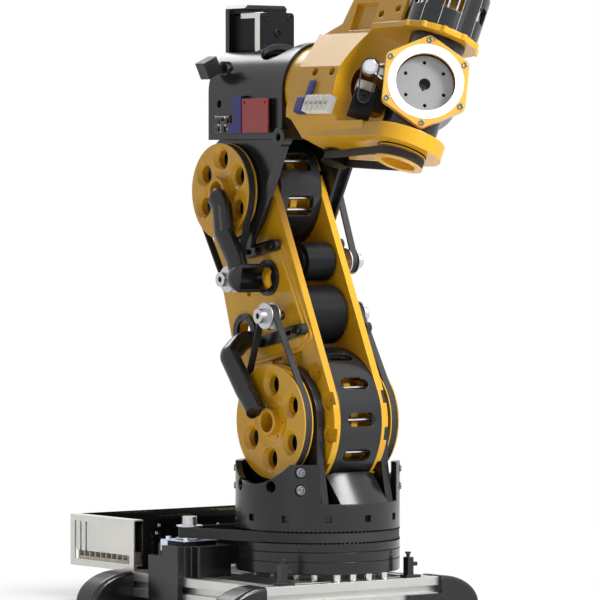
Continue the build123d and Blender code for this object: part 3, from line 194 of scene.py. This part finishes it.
# Feet and cable hooks: printed in black PLA and screwed to the beams. A nozzle lays PLA down in 0.2 mm lines,
# too fine to show here, so they are drawn 3.8 mm apart and faint; broad patches differ a little in shade, and
# rubbed corners are paler.
def printed_pla(name, colour, pale, dark, roughness):
    """Printed plastic with its layer lines, patches of shade and paler corners."""
    layer_gap = 0.00382
    patches_per_metre = 18.0
    grains_per_metre = 900.0
    material, tree, output = start_material(name)
    where = add(tree, "ShaderNodeTexCoord")
    lines = add(tree, "ShaderNodeTexWave", {"wave_type": "BANDS", "bands_direction": "Z"},
                {"Vector": where.outputs["Object"], "Scale": pi / (10 * layer_gap), "Distortion": 0.4,
                 "Detail": 1.0, "Detail Scale": 40.0})
    cloud = add(tree, "ShaderNodeTexNoise", None,
                {"Vector": where.outputs["Object"], "Scale": patches_per_metre, "Detail": 3.0,
                 "Roughness": 0.55})
    grain = add(tree, "ShaderNodeTexNoise", None,
                {"Vector": where.outputs["Object"], "Scale": grains_per_metre, "Detail": 2.0})
    shade = add(tree, "ShaderNodeMapRange", None,
                {"Value": cloud.outputs["Fac"], "From Min": 0.3, "From Max": 0.7})
    base = add(tree, "ShaderNodeMix", {"data_type": "RGBA"},
               {"Factor": shade.outputs[0], "A": linear(dark), "B": linear(colour)})
    crease = add(tree, "ShaderNodeBevel", {"samples": 6}, {"Radius": 0.0012})
    flat = add(tree, "ShaderNodeNewGeometry")
    turn = add(tree, "ShaderNodeVectorMath", {"operation": "DOT_PRODUCT"},
               {0: crease.outputs[0], 1: flat.outputs["Normal"]})
    edge = add(tree, "ShaderNodeMapRange", None,
               {"Value": turn.outputs["Value"], "From Min": 0.985, "From Max": 0.90, "To Max": 0.55})
    rubbed = add(tree, "ShaderNodeMix", {"data_type": "RGBA"},
                 {"Factor": edge.outputs[0], "A": base.outputs["Result"], "B": linear(pale)})
    dull = add(tree, "ShaderNodeMapRange", None,
               {"Value": grain.outputs["Fac"], "To Min": roughness - 0.03, "To Max": roughness + 0.03})
    height = add(tree, "ShaderNodeMath", {"operation": "MULTIPLY_ADD"},
                 {0: grain.outputs["Fac"], 1: 0.35, 2: lines.outputs["Fac"]})
    rounded = add(tree, "ShaderNodeBump", None,
                  {"Strength": 0.05, "Distance": 0.0001, "Height": height.outputs[0],
                   "Normal": crease.outputs[0]})
    shader = add(tree, "ShaderNodeBsdfPrincipled", None,
                 {"Base Color": rubbed.outputs["Result"], "Roughness": dull.outputs[0], "IOR": 1.46,
                  "Normal": rounded.outputs[0]})
    tree.links.new(shader.outputs[0], output.inputs["Surface"])
    return material


black_pla = printed_pla("black_printed_pla", "#1C1D1F", "#37383B", "#18191B", 0.22)
dress(black_pla, "corner_feet", "cable_hooks")


# Power supply: a folded tray of zinc-plated sheet under a cover painted dead matt black, round a board of
# ivory plastic. Gilt pads are plated on the cover, and small zinc-plated socket screws hold the cover's near
# side. Bright zinc strips just behind the vents are a painted view of the white backdrop seen through the
# slots. The matt paint has no sheen, so its index is 1.
def smooth_skin(name, colour, roughness, index=1.5):
    """Paint, plastic, rubber, solder mask or oxide with a slight orange peel; a low index dulls it."""
    dimples_per_metre = 1400.0
    smudges_per_metre = 30.0
    material, tree, output = start_material(name)
    where = add(tree, "ShaderNodeTexCoord")
    peel = add(tree, "ShaderNodeTexNoise", None,
               {"Vector": where.outputs["Object"], "Scale": dimples_per_metre, "Detail": 2.0})
    dust = add(tree, "ShaderNodeTexNoise", None,
               {"Vector": where.outputs["Object"], "Scale": smudges_per_metre, "Detail": 4.0})
    dull = add(tree, "ShaderNodeMapRange", None,
               {"Value": dust.outputs["Fac"], "To Min": roughness - 0.06, "To Max": roughness + 0.1})
    crease = add(tree, "ShaderNodeBevel", {"samples": 6}, {"Radius": 0.0008})
    bump = add(tree, "ShaderNodeBump", None,
               {"Strength": 0.12, "Distance": 0.0001, "Height": peel.outputs["Fac"],
                "Normal": crease.outputs[0]})
    shader = add(tree, "ShaderNodeBsdfPrincipled", None,
                 {"Base Color": linear(colour), "Roughness": dull.outputs[0], "IOR": index,
                  "Normal": bump.outputs[0]})
    tree.links.new(shader.outputs[0], output.inputs["Surface"])
    return material


def brick(bm, low, high, place=None):
    """Adds a box between two corners."""
    size = [high[axis] - low[axis] for axis in range(3)]
    centre = [(high[axis] + low[axis]) / 2 for axis in range(3)]
    matrix = Matrix.Translation(centre) @ Matrix.Diagonal((*size, 1))
    bmesh.ops.create_cube(bm, size=1, matrix=place @ matrix if place else matrix)


def turned(bm, profile, place, hexed=(), sides=24):
    """Adds a closed round solid: (radius, height) points from axis to axis; hexed ones are six-sided."""
    rings = []
    for number, (radius, height) in enumerate(profile):
        if radius == 0:
            rings.append([bm.verts.new(place @ Vector((0, 0, height)))])
            continue
        ring = []
        for step in range(sides):
            angle = 2 * pi * step / sides
            reach = radius
            if number in hexed:
                reach = radius * cos(pi / 6) / cos((angle % (pi / 3)) - pi / 6)
            ring.append(bm.verts.new(place @ Vector((reach * cos(angle), reach * sin(angle), height))))
        rings.append(ring)
    for lower, upper in zip(rings, rings[1:]):
        for step in range(sides):
            after = (step + 1) % sides
            corners = [lower[step % len(lower)], lower[after % len(lower)],
                       upper[after % len(upper)], upper[step % len(upper)]]
            bm.faces.new(list(dict.fromkeys(corners)))


def facing(x, y, z, along):
    """A place at a point whose +Z points along a direction."""
    return Matrix.Translation((x, y, z)) @ Vector(along).to_track_quat("Z", "Y").to_matrix().to_4x4()


def socket_screw(bm, radius, place, sides=24):
    """Adds the head of a socket screw whose seat is at the place."""
    tall = radius * 1.1
    hexagon = radius * 0.56
    floor_of_socket = tall * 0.35
    profile = [(0, 0), (radius, 0), (radius, tall - 0.3), (radius - 0.3, tall), (hexagon, tall),
               (radius * 0.54, floor_of_socket), (0, floor_of_socket)]
    turned(bm, profile, place, hexed=(4, 5), sides=sides)


def piece(bm, name, material, body, place):
    """Turns the mesh into an object on a body; faces that meet at less than 40 degrees shade smooth."""
    bm.transform(place)
    bmesh.ops.recalc_face_normals(bm, faces=bm.faces)
    for face in bm.faces:
        face.smooth = True
    for edge in bm.edges:
        edge.smooth = edge.is_manifold and edge.calc_face_angle(0) < radians(40)
    mesh = bpy.data.meshes.new(name)
    bm.to_mesh(mesh)
    bm.free()
    mesh.materials.append(material)
    made = bpy.data.objects.new(name, mesh)
    bpy.context.scene.collection.objects.link(made)
    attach(made, body)


world_frame = Matrix.Scale(0.001, 4)
zinc_sheet = worked_metal("zinc_plated_sheet", "#D4D3CE", 0.38, (120, 120, 30), 0.1)
zinc_screw = worked_metal("zinc_plated_screw", "#C9CACD", 0.24, (500, 500, 500), 0.1)
ivory_nylon = smooth_skin("moulded_ivory_nylon", "#CFC6B8", 0.4)
dress(zinc_sheet, "supply_case")
dress(smooth_skin("dead_matt_black_paint", "#1D1D1C", 0.8, 1.0), "supply_cover")
dress(ivory_nylon, "supply_board")

cover_top = 83.0
cover_side = -148.0
pad_pitch = 4.2
pad_width = 2.4
bm = bmesh.new()
for x, y, across, along in ((-250, -84, 4, 11), (-190, -70, 4, 10), (-236, 30, 7, 12)):
    for row in range(across):
        for column in range(along):
            if (row * 5 + column * 3) % 7 < 5:
                low = Vector((x + pad_pitch * row, y + pad_pitch * column, cover_top - 0.1))
                brick(bm, low, low + Vector((pad_width, 1.2 + (row * 2 + column) % 3, 0.3)))
dull_gilt = smooth_skin("dull_gilt_plating", "#6E5F42", 0.6, 1.0)
piece(bm, "supply_cover_pads", dull_gilt, "base", world_frame)

# Painted backdrop: two bright strips behind the vent slots stand in for the white seen through them.
bm = bmesh.new()
brick(bm, (-258.0, -124.3, 48.6), (-232.0, -123.9, 81.0))
brick(bm, (-149.6, -114.0, 46.0), (-149.2, -84.0, 80.0))
piece(bm, "supply_vent_painted_backdrop", zinc_screw, "base", world_frame)

bm = bmesh.new()
for y, z in ((-95.0, 76.5), (-98.0, 68.5), (-20.0, 74.0)):
    socket_screw(bm, 1.9, facing(cover_side, y, z, (1, 0, 0)), sides=18)
piece(bm, "supply_cover_screws", zinc_screw, "base", world_frame)


# Yaw drum: black printed rings on ground steel standoffs, round a steel ball bearing. The belt's teeth show
# as dark dashes at both edges of its groove, and finer ones where the rings meet: small holes whose shade is
# painted as small dark blocks, nearly without sheen, let into the joint.
ground_steel = worked_metal("ground_steel", "#DADBDD", 0.16, (300, 60, 300), 0.1)
dress(black_pla, "base_plate", "base_ring", "turret_pulley")
dress(ground_steel, "base_standoffs", "yaw_bearing")

drum_skin = 84.06
dash_root = 83.2
dark_gap = smooth_skin("unlit_gap_between_rings", "#020202", 0.8, 1.04)
# Painted shade: a dark block in each hole along the joints.
bm = bmesh.new()
for joint_z, tall, wide, count in ((79.9, 1.6, 3.1, 112), (68.6, 1.6, 3.1, 112), (59.4, 0.8, 1.1, 264),
                                   (49.6, 0.8, 1.1, 264)):
    for step in range(count):
        turn = Matrix.Rotation(2 * pi * step / count, 4, "Z")
        brick(bm, (dash_root, -wide / 2, joint_z - tall / 2), (drum_skin, wide / 2, joint_z + tall / 2), turn)
piece(bm, "ring_joint_dashes", dark_gap, "base", world_frame)


# Yaw drive: a stepper motor with a painted black stack and a die-cast, clear anodised end bell, in a printed
# holder. A turned aluminium pulley on its shaft drives the drum through a neoprene belt.
black_coat = smooth_skin("black_powder_coat", "#151618", 0.34, 1.22)
belt_rubber = smooth_skin("moulded_neoprene", "#1B1B1C", 0.66)
turned_aluminium = worked_metal("turned_aluminium", "#C4C5C8", 0.30, (700, 700, 700), 0.15)
dress(black_coat, "yaw_motor")
dress(black_pla, "yaw_motor_holder")
dress(belt_rubber, "yaw_belt")
dress(turned_aluminium, "yaw_drive_pulley")

yaw_motor_x = -81.0
yaw_motor_y = -103.0
motor_half = 21.0
pilot_half = 11.5
motor_screw_spread = 15.5
bell_low = 65.6
bell_high = 66.6
bm = bmesh.new()
brick(bm, (-102.25, -124.25, 55.0), (-90.0, -124.05, 65.8))
brick(bm, (-102.25, -124.25, 55.0), (-102.05, -112.0, 65.8))
for low_x, low_y, high_x, high_y in ((-motor_half, -motor_half, -pilot_half, motor_half),
                                     (pilot_half, -motor_half, motor_half, motor_half),
                                     (-pilot_half, -motor_half, pilot_half, -pilot_half),
                                     (-pilot_half, pilot_half, pilot_half, motor_half)):
    brick(bm, (yaw_motor_x + low_x, yaw_motor_y + low_y, bell_low),
          (yaw_motor_x + high_x, yaw_motor_y + high_y, bell_high))
for x in (-motor_screw_spread, motor_screw_spread):
    for y in (-motor_screw_spread, motor_screw_spread):
        socket_screw(bm, 2.7, facing(yaw_motor_x + x, yaw_motor_y + y, bell_high, (0, 0, 1)))
anodised_bell = worked_metal("clear_anodised_bell", "#CFD6EA", 0.34, (60, 60, 60), 0.1)
piece(bm, "yaw_motor_bell", anodised_bell, "base", world_frame)


# Turret: printed in black PLA in one piece. Eight plain steel socket screws with washers sit in the round
# counterbores of its wall; each is cold headed with a hexagon socket.
dress(black_pla, "turret_housing")

counterbore_floor = 81.05
plain_screw = worked_metal("plain_steel_screw", "#85868A", 0.2, (500, 500, 500), 0.1)
bm = bmesh.new()
for angle in (49, -49, 131, -131):
    for z in (122.0, 140.0):
        out = (cos(radians(angle)), sin(radians(angle)), 0)
        seat = facing(counterbore_floor * out[0], counterbore_floor * out[1], z, out)
        turned(bm, [(0, 0), (4.9, 0), (4.9, 0.6), (4.0, 0.9), (0, 0.9)], seat)
        socket_screw(bm, 3.4, seat @ Matrix.Translation((0, 0, 0.9)))
piece(bm, "turret_screws", plain_screw, "turret", world_frame)


# Shoulder and elbow joints: yellow printed pulleys and tubes on ground steel ball bearings. The pulleys are
# screwed to the uprights and to the housing's cheeks.
yellow_pla = printed_pla("yellow_printed_pla", "#D9A21C", "#EBC25E", "#D0991A", 0.22)
dress(yellow_pla, "shoulder_pulleys", "shoulder_tube", "elbow_pulleys", "elbow_tube")
dress(ground_steel, "joint_bearings")


# Lower arm: two yellow printed plates with black printed drums, guides and tensioners between and on them,
# round painted motors, neoprene belts and aluminium pulleys. Black-oxidised socket screws through the slots
# of the tensioners lock them once the belts are tight.
dress(yellow_pla, "left_side_plate", "right_side_plate", "drum_cores")
dress(black_pla, "shoulder_drum", "elbow_drum", "cable_guides", "belt_tensioners")
dress(black_coat, "arm_motors")
dress(ground_steel, "drum_rods")
dress(belt_rubber, "arm_belts")
dress(turned_aluminium, "shoulder_drive_pulleys", "left_elbow_drive_pulley", "right_elbow_drive_pulley")

shoulder_height = 189.0
link_length = 249.0
link_lean = radians(20.5)
link_frame = world_frame @ Matrix.Translation((0, 0, shoulder_height)) @ Matrix.Rotation(-link_lean, 4, "Y")
tensioner_face = 44.0
oxide_screw = smooth_skin("black_oxidised_steel", "#101011", 0.3, 1.25)
bm = bmesh.new()
for side in (-1, 1):
    for x, z in ((38.0, 175.0), (3.0, 181.3), (52.0, 79.4), (-4.0, 87.2)):
        socket_screw(bm, 2.8, facing(x, side * tensioner_face, z, (0, side, 0)), sides=20)
piece(bm, "tensioner_bolts", oxide_screw, "lower_arm", link_frame)


# Forearm housing: printed in black PLA with its braces and sensor box, round ground steel bearings.
# The braces are screwed along the cheeks.
dress(black_pla, "forearm_housing", "housing_braces", "rear_sensor")
dress(ground_steel, "roll_bearings")


# Roll motor: a stepper in a printed hooded bracket. Its bright cast end bell sits behind the black end
# plate; bright strips along the stack's upper edges and over its top are a painted highlight of the light
# from above. The plate has black-oxidised corner screws, a boss with the shaft's end and a cable socket on
# top.
dress(black_coat, "roll_motor")
dress(black_pla, "roll_motor_bracket")
dress(belt_rubber, "roll_belt")
dress(turned_aluminium, "roll_drive_pulley")

roll_height = shoulder_height + link_length * cos(link_lean) + 102.0
motor_middle = roll_height + 61.0
stack_rear = -103.5
bell_rear = -79.0
bell_front = -70.5
plate_front = -68.5
bell_edge = 20.9
# The bell's bands at both sides, then painted highlight: bright strips on the stack's upper edges and top.
bm = bmesh.new()
for side in (-1, 1):
    low_y = side * motor_half - 0.4
    high_y = side * motor_half + 0.3
    brick(bm, (bell_rear, low_y, motor_middle - bell_edge), (bell_front, high_y, motor_middle + bell_edge))
    brick(bm, (stack_rear, low_y, motor_middle + 15.4), (bell_rear, high_y, motor_middle + bell_edge))
brick(bm, (stack_rear, -bell_edge, motor_middle + 20.6), (bell_front, bell_edge, motor_middle + 21.3))
piece(bm, "roll_motor_bell_and_painted_highlight", zinc_sheet, "forearm_housing", world_frame)

corner_screw = [(0, 0), (3.4, 0), (3.4, 0.3), (3.1, 0.6), (1.9, 0.6), (1.7, -0.6), (0, -0.6)]
shaft_boss = [(0, 0), (4.6, 0), (4.6, 0.7), (4.2, 1.0), (3.2, 1.0), (3.0, -1.0), (0, -1.0)]
bm = bmesh.new()
brick(bm, (-73.0, -11.0, motor_middle + 21.0), (-68.7, 11.5, motor_middle + 25.4))
for y in (-motor_screw_spread, motor_screw_spread):
    for z in (-motor_screw_spread, motor_screw_spread):
        turned(bm, corner_screw, facing(plate_front, y, motor_middle + z, (1, 0, 0)), sides=20)
turned(bm, shaft_boss, facing(plate_front, 0, motor_middle, (1, 0, 0)), sides=28)
piece(bm, "roll_motor_screws", oxide_screw, "forearm_housing", world_frame)


# Circuit boards: glass-fibre laminate with a red solder mask on the driver and a green one on the sensor
# board, held by blue printed clips. Chips of moulded epoxy and tinned pads and pins are soldered on.
dress(smooth_skin("red_solder_mask", "#9A3230", 0.32), "driver_boards")
blue_pla = printed_pla("blue_printed_pla", "#2B2B70", "#5656A0", "#232360", 0.45)
dress(blue_pla, "board_clips")

board_face = -54.4
bm = bmesh.new()
brick(bm, (-103.9, -54.5, 482.0), (-78.2, -54.02, 500.0))
green_mask = smooth_skin("green_solder_mask", "#3C4A38", 0.34)
piece(bm, "sensor_board_mask", green_mask, "forearm_housing", world_frame)

bm = bmesh.new()
for x, z, wide, tall in ((-98, 494, 7, 5), (-88, 486, 5, 6), (-91, 496, 4, 3), (-82, 494, 4, 6),
                         (-98, 486, 5, 4)):
    brick(bm, (x - wide / 2, -56.3, z - tall / 2), (x + wide / 2, board_face, z + tall / 2))
epoxy = smooth_skin("moulded_epoxy", "#202124", 0.45)
piece(bm, "board_chips", epoxy, "forearm_housing", world_frame)

bm = bmesh.new()
for step in range(9):
    header_x = -102.6 + 2.6 * step
    chip_pin_z = 483.0 + 1.6 * step
    brick(bm, (header_x, -54.9, 498.4), (header_x + 1.2, board_face, 499.4))
    brick(bm, (-93.8, -55.0, chip_pin_z), (-92.6, board_face, chip_pin_z + 0.8))
for x, z in ((-85.0, 498.0), (-80.0, 486.0), (-96.0, 490.5), (-84.0, 490.0)):
    brick(bm, (x - 1.2, -55.6, z - 0.8), (x + 1.2, board_face, z + 0.8))
tinned = worked_metal("tinned_pads", "#D6D3C6", 0.3, (200, 200, 200), 0.1)
piece(bm, "board_pads", tinned, "forearm_housing", world_frame)


# Fork: the forearm and its roll shaft, printed in yellow PLA. The wrist motor, painted black, turns the
# hand through a small pulley and a neoprene belt to a yellow printed pulley on ground steel bearings.
dress(yellow_pla, "roll_shaft", "forearm_fork", "wrist_pulley")
dress(black_coat, "wrist_motor", "wrist_drive_pulley")
dress(belt_rubber, "wrist_belt")
dress(ground_steel, "wrist_bearings")


# Wrist drum: black printed shell round a yellow printed reel. Chromed pins stand behind its windows, and thin
# bright strips down the corners where its flat faces meet are painted highlights.
dress(black_pla, "wrist_drum")
dress(yellow_pla, "wrist_drum_core")

wrist_reach = 172.0
roll_frame = world_frame @ Matrix.Translation((0, 0, roll_height)) @ Matrix.Rotation(radians(-22.7), 4, "X")
pin_circle = 30.6
chrome = worked_metal("chromed_steel", "#E4E5E8", 0.12, (300, 300, 300), 0.05)
bm = bmesh.new()
for step in range(6):
    for side in (-9, 9):
        angle = radians(60 * step + 30 + side)
        foot = facing(wrist_reach + pin_circle * cos(angle), pin_circle * sin(angle), 58.5, (0, 0, 1))
        turned(bm, [(0, 0), (1.4, 0), (1.4, 41), (0, 41)], foot, sides=14)
# Painted highlights: a thin bright strip down each corner of the shell.
for step in range(12):
    turn = Matrix.Translation((wrist_reach, 0, 0)) @ Matrix.Rotation(radians(30 * step + 15), 4, "Z")
    brick(bm, (37.2, -0.25, 58.0), (37.6, 0.25, 104.6), turn)
piece(bm, "wrist_drum_pins_and_painted_highlights", chrome, "forearm", roll_frame)


# Terminal block: moulded in white nylon, with gilt brass clamp screws down in its five round entries.
# Two blue printed clips hold it to the fork.
dress(smooth_skin("moulded_white_nylon", "#ECECE6", 0.35), "terminal_block")

first_entry = 68
entry_pitch = 8
bm = bmesh.new()
for step in range(5):
    x = first_entry + entry_pitch * step
    turned(bm, [(0, 0), (1.7, 0), (1.7, 0.5), (0, 0.5)], facing(x, -51.8, -33.6, (0, 0, 1)), sides=18)
    turned(bm, [(0, 0), (2.3, 0), (2.3, 0.5), (0, 0.5)], facing(x, -52.6, -37.5, (0, -1, 0)), sides=18)
gilt_brass = worked_metal("gilt_brass", "#C79A55", 0.3, (300, 300, 300), 0.1)
piece(bm, "terminal_clamps", gilt_brass, "forearm", roll_frame)

bm = bmesh.new()
brick(bm, (50.0, -56.5, -47.0), (63.4, -46.8, -30.0))
brick(bm, (55.0, -52.0, -30.2), (62.0, -46.8, -10.0))
bmesh.ops.bevel(bm, geom=bm.edges[:], offset=1.2, segments=2, affect="EDGES")
piece(bm, "terminal_clips", blue_pla, "forearm", roll_frame)


# Hand: a black printed housing with a small painted motor and a turned aluminium lever at its side. A toothed
# belt runs from the motor's dark pulley up to the lever's knob, two slender chromed arms reach to the bezel,
# and the motor's plug is moulded in ivory nylon.
dress(black_pla, "hand_housing")
dress(black_coat, "hand_motor")
dress(turned_aluminium, "hand_lever")

hand_frame = roll_frame @ Matrix.Translation((wrist_reach, 0, 0)) @ Matrix.Rotation(radians(-34.3), 4, "Z")
knob_y, knob_z, knob_radius = -56.0, 0.0, 8.1
pulley_y, pulley_z, pulley_radius = -53.0, -31.0, 5.2
belt_rear = 14.2
belt_front = 17.0
belt_thickness = 1.3
belt_steps = 22
run = Vector((pulley_y - knob_y, pulley_z - knob_z))
start = atan2(run.y, run.x)
lean = atan2(knob_radius - pulley_radius, run.length)
bm = bmesh.new()
rows = []
for y, z, radius, low, sweep in ((knob_y, knob_z, knob_radius, start + pi / 2 - lean, pi + 2 * lean),
                                 (pulley_y, pulley_z, pulley_radius, start - pi / 2 + lean, pi - 2 * lean)):
    for step in range(belt_steps):
        angle = low + sweep * step / (belt_steps - 1)
        outer = radius + belt_thickness
        rows.append([bm.verts.new((x, y + reach * cos(angle), z + reach * sin(angle)))
                     for reach, x in ((radius, belt_rear), (outer, belt_rear),
                                      (outer, belt_front), (radius, belt_front))])
for row, after in zip(rows, rows[1:] + rows[:1]):
    for corner in range(4):
        bm.faces.new([row[corner], row[(corner + 1) % 4], after[(corner + 1) % 4], after[corner]])
piece(bm, "hand_motor_belt", belt_rubber, "hand", hand_frame)

bm = bmesh.new()
turned(bm, [(0, 0), (4.9, 0), (4.9, 9.4), (2.0, 9.4), (1.8, 7.0), (0, 7.0)],
       facing(8.0, pulley_y, pulley_z, (1, 0, 0)), sides=28)
piece(bm, "hand_motor_pulley", oxide_screw, "hand", hand_frame)

bm = bmesh.new()
turned(bm, [(0, 0), (5.6, 0), (5.6, 1.2), (2.0, 1.6), (0, 1.6)],
       facing(16.9, knob_y, knob_z, (1, 0, 0)), sides=28)
for end_z in (7.0, -7.0):
    arm_place = facing(15.4, -55.0, end_z * 0.3, (0, 16.0, end_z))
    brick(bm, (-1.1, -0.9, 0.0), (1.1, 0.9, 15.0), arm_place)
piece(bm, "hand_linkage", chrome, "hand", hand_frame)

bm = bmesh.new()
brick(bm, (-9.0, -63.6, -22.0), (8.8, -45.0, -12.6))
bmesh.ops.bevel(bm, geom=bm.edges[:], offset=0.8, segments=2, affect="EDGES")
piece(bm, "hand_motor_connector", ivory_nylon, "hand", hand_frame)


# Bezel: printed in a paler yellow PLA. Six plain steel socket screws in its lobes hold the ring light's seat
# to the hand, with their sockets facing forward.
dress(printed_pla("pale_yellow_printed_pla", "#E2B350", "#F0D08A", "#DAAA48", 0.22), "hand_bezel")

bezel_seat = 29.1
bezel_circle = 42.2
bm = bmesh.new()
for step in range(6):
    angle = radians(12 + 60 * step)
    seat = facing(bezel_seat, bezel_circle * sin(angle), -bezel_circle * cos(angle), (1, 0, 0))
    socket_screw(bm, 2.9, seat)
piece(bm, "bezel_screws", plain_screw, "hand", hand_frame)


# Ring light: a milky acrylic diffuser over a ring of lamps, pressed into the bezel. It shows as an even white
# with no shade.
specks_per_metre = 500.0
material, tree, output = start_material("milky_acrylic_diffuser")
where = add(tree, "ShaderNodeTexCoord")
speck = add(tree, "ShaderNodeTexNoise", None,
            {"Vector": where.outputs["Object"], "Scale": specks_per_metre, "Detail": 2.0})
dull = add(tree, "ShaderNodeMapRange", None, {"Value": speck.outputs["Fac"], "To Min": 0.35, "To Max": 0.5})
shader = add(tree, "ShaderNodeBsdfPrincipled", None,
             {"Base Color": linear("#FAFAFA"), "Roughness": dull.outputs[0], "IOR": 1.49,
              "Emission Color": linear("#FFFFFF"), "Emission Strength": 0.75})
tree.links.new(shader.outputs[0], output.inputs["Surface"])
dress(material, "ring_light")


# Tool flange: turned in aluminium and bead blasted, which leaves a soft grey sheen with no lines.
# Six tapped holes and a keyed bore take the tool.
dress(worked_metal("bead_blasted_aluminium", "#8E8F91", 0.5, (400, 400, 400), 0.12), "tool_flange")


bpy.context.scene.view_settings.view_transform = "Standard"
